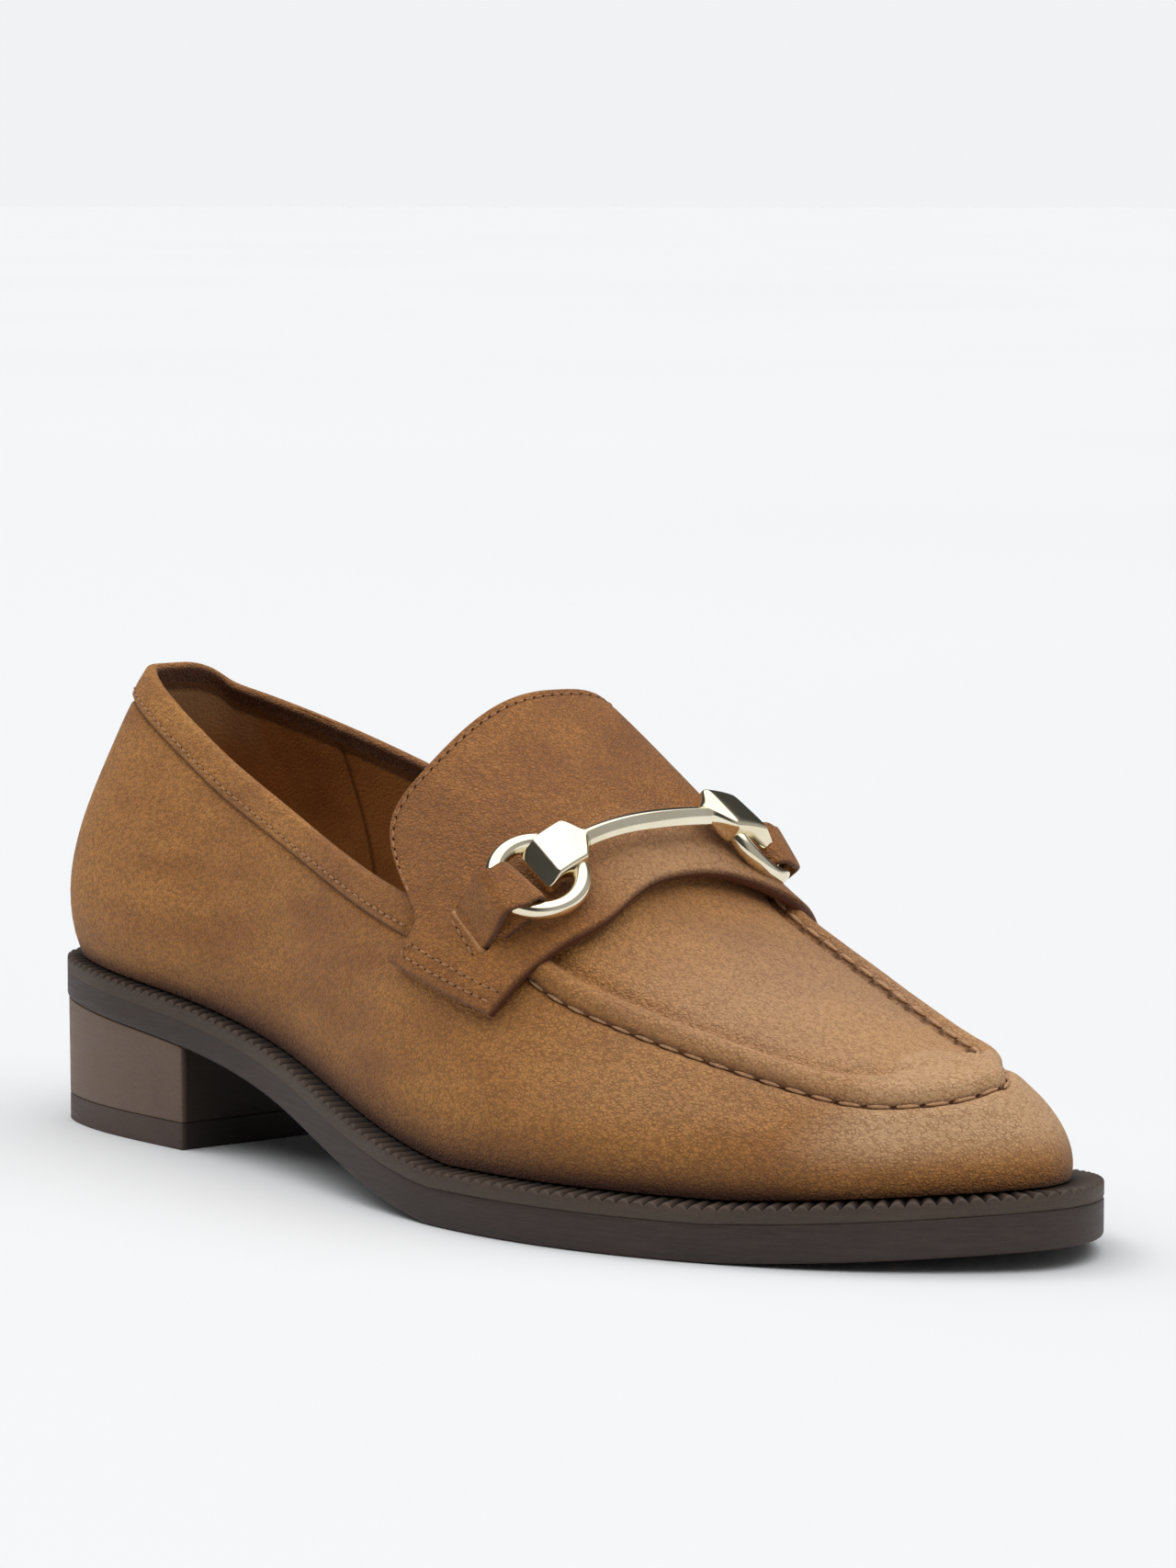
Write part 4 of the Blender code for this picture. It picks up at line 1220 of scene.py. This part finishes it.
def saddle_face(a, b, top):
    """One face of the saddle: darker towards its cut edges, painted shade in the slots, pale at the slots'
    cut lips, paler with painted light across its middle towards the front.
    """
    across = 2.0 * edge_rows(a, 2.0 * SADDLE_REACH) - 1.0
    along = edge_rows(b, SADDLE_LENGTH)
    back, front, low = saddle_gaps(across, along)
    nearest = np.minimum.reduce([back, front, low])
    edge_turn = collar_round(nearest, SADDLE_ROUND)
    cut = np.where(np.abs(across) < 0.8, np.minimum(front, low), nearest)
    # Darker towards the cut edges.
    worn = 0.7 * np.exp(-cut / 0.6)
    raw = np.zeros(len(a))
    if not top:
        return saddle_skin(across, along, SADDLE_GAP + edge_turn), worn, raw, raw
    tongue = smoothstep(0.8, 0.72, np.abs(across))
    height = SADDLE_TOP - edge_turn - TONGUE_SINK * tongue * bell(back - TONGUE_ROW, 0.6)
    ground = saddle_skin(across, along, np.full(len(a), SADDLE_TOP))
    height = height - creases(ground)
    # Painted light: paler across the middle towards the front edge.
    brushed = 0.6 * smoothstep(0.6, 0.1, np.abs(across)) * smoothstep(0.6, 0.9, along)
    for name in SIDES:
        down, aside, out = by_strip(name, ground).T
        beside = smoothstep(STRIP_HALF + 1.0, STRIP_HALF + 0.3, np.abs(aside)) * (np.abs(out) < 14.0)
        height = height - SLOT_DEEP * beside * bell(down - SLOT_FAR, 0.45)
        lip = smoothstep(SLOT_FAR + 0.2, SLOT_FAR + 0.7, down) * bell(down - SLOT_FAR - 0.7, 1.6)
        height = height + SLOT_LIP * beside * lip
        # Painted shade in the slot; pale at its cut lip.
        worn = worn + 0.9 * beside * bell(down - SLOT_FAR, 0.5)
        raw = raw + 0.9 * beside * bell(down - SLOT_FAR - 0.75, 0.4)
    return saddle_skin(across, along, height), portion(worn), portion(raw), brushed


def make_saddle():
    columns = 300
    rows = 100
    bm = new_shape()
    for top in (True, False):
        verts, shares = bent_grid(bm, columns, rows, lambda a, b: saddle_face(a, b, top)[0], 0 if top else 1)
        worn, raw, brushed = saddle_face(shares[:, 0], shares[:, 1], top)[1:]
        put_marks(bm, verts, worn=worn, raw=raw, brushed=brushed)
    bmesh.ops.bridge_loops(bm, edges=[e for e in bm.edges if e.is_boundary])
    for face in bm.faces[-2 * (columns + rows):]:
        face.material_index = 1
    return finish_piece("saddle_and_tongue", bm, [SADDLE_NUBUCK, CUT_EDGE], ["saddle_tongue"],
                        sharp=60.0)


def saddle_row(across, along, height=SADDLE_TOP):
    points = saddle_skin(across, along, np.full(len(across), height))
    normals = unit(saddle_skin(across, along, np.full(len(across), height + 1.0)) - points)
    return points, normals


def wing_row(side):
    """Two rows along the wing's lower edge, joined by a round turn at its back."""
    lower, upper, turn_at, row_end = 2.1, 4.3, 3.2, 29.0
    straight = np.linspace(row_end, turn_at, 60)
    turn = np.linspace(0.0, math.pi, 12)[1:-1]
    radius = (upper - lower) / 2.0
    from_back = np.concatenate([straight, turn_at - radius * np.sin(turn), straight[::-1]])
    round_turn = (lower + upper) / 2.0 - radius * np.cos(turn)
    from_edge = np.concatenate([np.full(60, lower), round_turn, np.full(60, upper)])
    share = 1.0 - from_edge / SADDLE_REACH
    return saddle_row(side * share, np.clip(from_back / saddle_span(share)[1], 0.0, 0.95))


def make_saddle_stitches():
    share = np.linspace(-0.79, 0.79, 700)
    row = saddle_row(share, TONGUE_ROW / saddle_span(np.abs(share))[1], SADDLE_TOP - TONGUE_SINK)
    sew("tongue_stitches", [row], 2.3, 0.66, 0.22, FINE_THREAD, (0.52, 0.25), 0.5)
    rows = []
    for side in SIDES.values():
        rows.append(wing_row(side))
        x = np.linspace(147.5, 155.5, 30)
        s = BIT_S + side * (RING_S + np.linspace(16.2, 17.2, 30))
        normals = unit(on_instep(x, s, SADDLE_TOP + 5.0) - on_instep(x, s, SADDLE_TOP))
        rows.append((on_saddle(x, s) + 0.4 * normals, normals))
    sew("saddle_stitches", rows, 2.3, 0.66, 0.22, FINE_THREAD, (0.3, 0.16), 0.5)


# The bit

def make_ring(name):
    bm = new_shape()
    bmesh.ops.create_circle(bm, segments=24, radius=RING_WIRE)
    bmesh.ops.rotate(bm, verts=bm.verts[:], matrix=Matrix.Rotation(QUARTER_TURN, 3, "X"))
    bmesh.ops.translate(bm, verts=bm.verts[:], vec=(RING_RADIUS, 0.0, 0.0))
    bmesh.ops.spin(bm, geom=bm.verts[:] + bm.edges[:], axis=(0, 0, 1), cent=(0, 0, 0),
                   angle=FULL_TURN, steps=96, use_merge=True)
    bmesh.ops.translate(bm, verts=bm.verts[:], vec=(0.0, 0.0, RING_HEIGHT))
    bmesh.ops.transform(bm, matrix=RING_PLACE[name], verts=bm.verts[:])
    return finish_piece("polished_ring_" + name, bm, [GOLD], ["ring_" + name])


# Half of the bar: share of its half length, then the slim bar's width and height
BAR = Sections(
    "share width height",
    (0.0, 4.7, 3.4),
    (0.30, 4.5, 3.3),
    (0.50, 4.4, 3.1),
    (1.0, 4.4, 3.1),
)
# Way of the cross sections, from the bar's outer end to its inner end
BAR_ACROSS = Sections(
    "share x y z",
    (-1.0, 0.826, -0.006, -0.512),
    (0.0, 0.76, 0.05, -0.65),
    (1.0, 0.70, 0.36, -0.62),
)
BAR_ARCH = 0.8
BAR_TOP = 2.2
BLOCK_START = 0.55
BLOCK_FULL = 0.67
BLOCK_WIDTH = 10.6
BLOCK_TOP = 2.3
INNER_BLOCK_EXTRA = 0.8   # the inner block is taller, over its ring
BLOCK_BASE = 2.2
BLOCK_SLOPE = 2.8         # length of the face that falls towards the ring
BLOCK_ROUND = 1.2
RIDGED = 1.4              # exponent of the slim bar's section, ridged along its middle
SQUARE = 6.0


def bar_line(share):
    """Middle of the bar: a smooth arch over the instep."""
    known = np.linspace(-1.0, 1.0, 41)
    lift = SADDLE_TOP + RING_HEIGHT + BAR_ARCH * (1.0 - known ** 2)
    points = on_instep(np.full(41, BIT_X), BIT_S + known * BAR_HALF, lift)
    return np.column_stack([np.polyval(np.polyfit(known, points[:, k], 6), share) for k in range(3)])


def make_bar():
    """The bar over the instep, ridged along its top, with a block at each end."""
    def point(a, v):
        share = 2.0 * v - 1.0
        reach = np.abs(share)
        block = smoothstep(BLOCK_START, BLOCK_FULL, reach)
        left = (1.0 - reach) * BAR_HALF
        slope = portion(1.0 - left / BLOCK_SLOPE) ** 1.1
        wide = BAR.at("width", reach) * (1.0 - block) + BLOCK_WIDTH * block
        wide = wide - 1.4 * collar_round(left, BLOCK_ROUND)
        block_top = BLOCK_TOP + INNER_BLOCK_EXTRA * (share > 0.0)
        top = BAR_TOP * (1.0 - block) + block_top * block * (1.0 - 0.92 * slope)
        base = (BAR.at("height", reach) - BAR_TOP) * (1.0 - block) + BLOCK_BASE * block
        across = unit(np.column_stack([BAR_ACROSS.at(axis, share) for axis in "xyz"]))
        along = unit(bar_line(share + 0.02) - bar_line(share - 0.02))
        out = unit(np.cross(across, along))
        turn = FULL_TURN * a
        power = 2.0 / (RIDGED + (SQUARE - RIDGED) * block)
        aside = np.sign(np.cos(turn)) * np.abs(np.cos(turn)) ** power * wide / 2.0
        high = np.where(np.sin(turn) > 0.0, top, -base) * np.abs(np.sin(turn)) ** power
        return bar_line(share) + across * aside[:, None] + out * high[:, None]

    bm = new_shape()
    bent_grid(bm, 72, 260, point)
    weld(bm)
    close_holes(bm)
    return finish_piece("polished_bar", bm, [GOLD], ["bit_bar"], sharp=50.0)


TWIST = 6.0               # degrees, the strip's turn where it lies on the wire


def corners_cut(line, rounds=3):
    """A way of points with its corners cut, so that it bends softly."""
    for _ in range(rounds):
        first = 0.75 * line[:-1] + 0.25 * line[1:]
        second = 0.25 * line[:-1] + 0.75 * line[1:]
        inside = np.stack([first, second], axis=1).reshape(-1, line.shape[1])
        line = np.concatenate([line[:1], inside, line[-1:]])
    return line


def make_tab(name):
    """A folded strip that comes out of a slot in the saddle and goes round the ring's wire."""
    stations, depths = np.meshgrid(RING_X + np.linspace(-2.0 * TAB_WIDTH, TAB_WIDTH, 41),
                                   RING_S + np.linspace(0.0, 1.5 * TAB_LENGTH, 31))
    ground = by_strip(name, on_saddle(stations, BIT_S + SIDES[name] * depths))
    ground = ground[np.abs(ground[:, 1]) < 1.0]

    def saddle_level(d):
        return ground[np.abs(ground[:, 0] - d) < 1.0, 2].mean()

    eye = RING_WIRE + GAP
    near = math.sqrt((RING_RADIUS - RING_WIRE) ** 2 - (TAB_WIDTH / 2.0) ** 2) + eye - GAP
    middle = eye + TAB_THICK / 2.0
    slot = saddle_level(SLOT_FAR)
    over = [(SLOT_FAR + 0.5, slot - 0.9), (SLOT_FAR + 0.1, slot + 0.3), (SLOT_FAR - 0.6, slot + 1.4)]
    leave = [(RING_RADIUS + middle * math.cos(a), RING_HEIGHT + middle * math.sin(a))
             for a in np.linspace(0.45, QUARTER_TURN, 7)]
    bend = [(near - middle * math.sin(a), RING_HEIGHT + middle * math.cos(a))
            for a in np.linspace(0.0, math.pi, 15)]
    below = [(RING_RADIUS, RING_HEIGHT - middle), (SLOT_FAR - 1.8, slot + 1.0), (SLOT_FAR - 0.3, slot - 0.9)]
    line = corners_cut(np.array(over + leave + bend + below))
    run = runs(line)

    def strip(a, v):
        """Round the strip's own section, and along its way."""
        way = v * run[-1]
        here = along_row(way, run, line)
        along = unit(along_row(way + 0.4, run, line) - along_row(way - 0.4, run, line))
        turn = FULL_TURN * a
        wide = np.sign(np.cos(turn)) * np.abs(np.cos(turn)) ** 0.25 * STRIP_HALF
        thick = np.sign(np.sin(turn)) * np.abs(np.sin(turn)) ** 0.6 * TAB_THICK / 2.0
        return np.column_stack([here[:, 0] + along[:, 1] * thick, wide, here[:, 1] - along[:, 0] * thick])

    bm = new_shape()
    verts, shares = bent_grid(bm, 40, 110, strip)
    spots = strip(shares[:, 0], shares[:, 1])
    twist = SIDES[name] * np.interp(spots[:, 0], [RING_RADIUS - 1.0, SLOT_FAR], [TWIST, TAB_TURN])
    for vert, spot, degrees in zip(verts, spots, twist):
        vert.co = RING_PLACE[name] @ turned(degrees, "Z") @ Vector(spot)
    # Darker towards the strip's side edges.
    put_marks(bm, verts, worn=0.75 * np.exp(-(STRIP_HALF - np.abs(spots[:, 1])) / 0.35))
    weld(bm)
    close_holes(bm)
    return finish_piece("ring_strip_" + name, bm, [SADDLE_NUBUCK], ["ring_tab_" + name],
                        sharp=60.0)


# Stage

FLOOR_LIGHT = 0.89        # how bright floor and horizon look behind the shoe
TOE_LIGHT = 0.42          # from the toe's side, below the light overhead
MIDDLE_LIGHT = 0.06
OVERHEAD_LIGHT = 1.66
AZIMUTH = math.radians(49.97)


def make_floor():
    f = Finish("pale_floor", Specular_IOR_Level=0.1)
    clouds = f.noise(0.8, 2.0, 0.5)
    f.colour(f.blend(f.soft(clouds), (0.792, 0.800, 0.807, 1.0), (0.800, 0.808, 0.815, 1.0)))
    f.roughness(f.soft(clouds, 0.8, 0.9))
    bm = bmesh.new()
    bmesh.ops.create_grid(bm, x_segments=8, y_segments=8, size=60.0)
    floor = new_object("floor", mesh_of("floor", bm, [f.material]))


def make_world():
    """Soft studio round the shoe: pale at floor level, darker at mid height, bright overhead."""
    world = bpy.data.worlds.new("studio")
    world.use_nodes = True
    n = Nodes(world.node_tree)
    way = n.add("ShaderNodeTexCoord", {}, {}, "Generated")
    height = n.add("ShaderNodeSeparateXYZ", {}, {"Vector": way}, "Z")

    def towards(direction):
        return n.add("ShaderNodeVectorMath", {"operation": "DOT_PRODUCT"}, {0: way, 1: direction}, "Value")

    behind = towards((-math.sin(AZIMUTH), math.cos(AZIMUTH), 0.0))
    at_toe = towards((0.87, 0.5, 0.0))
    middle = n.fade(at_toe, 0.3, 0.8, MIDDLE_LIGHT, TOE_LIGHT)
    light = n.fade(height, 0.05, 0.17, n.fade(behind, 0.3, 0.9, middle, FLOOR_LIGHT), middle)
    light = n.fade(height, 0.62, 0.78, light, OVERHEAD_LIGHT)
    shade = world.node_tree.nodes["Background"]
    shade.inputs["Color"].default_value = (0.992, 1.0, 1.01, 1.0)
    world.node_tree.links.new(light.socket, shade.inputs["Strength"])
    bpy.context.scene.world = world


def add_sun(name, towards, strength, softness):
    light = bpy.data.lights.new(name, "SUN")
    light.energy = strength
    light.angle = math.radians(softness)
    lamp = new_object(name, light)
    lamp.visible_glossy = False
    lamp.rotation_euler = Vector(towards).to_track_quat("-Z", "Y").to_euler()


def make_camera():
    elevation = math.radians(5.68)
    roll = math.radians(0.17)
    distance = 1125.6
    target = np.array([145.15, 0.0, 78.15])
    focal_pixels = 6471.0
    picture_height = 1707.0
    back = Vector((math.sin(AZIMUTH) * math.cos(elevation), -math.cos(AZIMUTH) * math.cos(elevation),
                   math.sin(elevation)))
    level = Vector((math.cos(AZIMUTH), math.sin(AZIMUTH), 0.0))
    rise = back.cross(level)
    right = level * math.cos(roll) + rise * math.sin(roll)
    up = rise * math.cos(roll) - level * math.sin(roll)
    data = bpy.data.cameras.new("camera")
    data.sensor_fit = "VERTICAL"
    data.sensor_height = 36.0
    data.lens = focal_pixels * data.sensor_height / picture_height
    data.clip_start = 0.05
    data.clip_end = 200.0
    camera = new_object("camera", data)
    spot = Vector(place(target)) + back * distance * MM
    camera.matrix_world = Matrix.Translation(spot) @ Matrix((right, up, back)).transposed().to_4x4()
    bpy.context.scene.camera = camera


make_sole()
make_welt()
make_heel_piece("heel_stack", flat(LIFT + 0.95 * GAP), lambda x: under(x) - 0.05 * GAP,
                (HEEL_TAPER, HEEL_INSET), HEEL, "heel_block")
make_heel_piece("heel_top_lift", flat(0.0), flat(LIFT + 0.85 * GAP),
                (HEEL_TAPER, HEEL_TAPER), TOP_LIFT, "heel_lift")
make_sock()
make_upper()
make_seam_stitches()
make_collar_stitches()
make_saddle()
make_saddle_stitches()
make_bar()
for ring_name in SIDES:
    make_ring(ring_name)
    make_tab(ring_name)
make_floor()
make_world()
make_camera()
add_sun("soft_sun", (0.95, 0.2, -0.7), 0.85, 50.0)
add_sun("front_sun", (-0.45, 0.1, -0.9), 0.32, 60.0)
bpy.context.scene.view_settings.view_transform = "Standard"
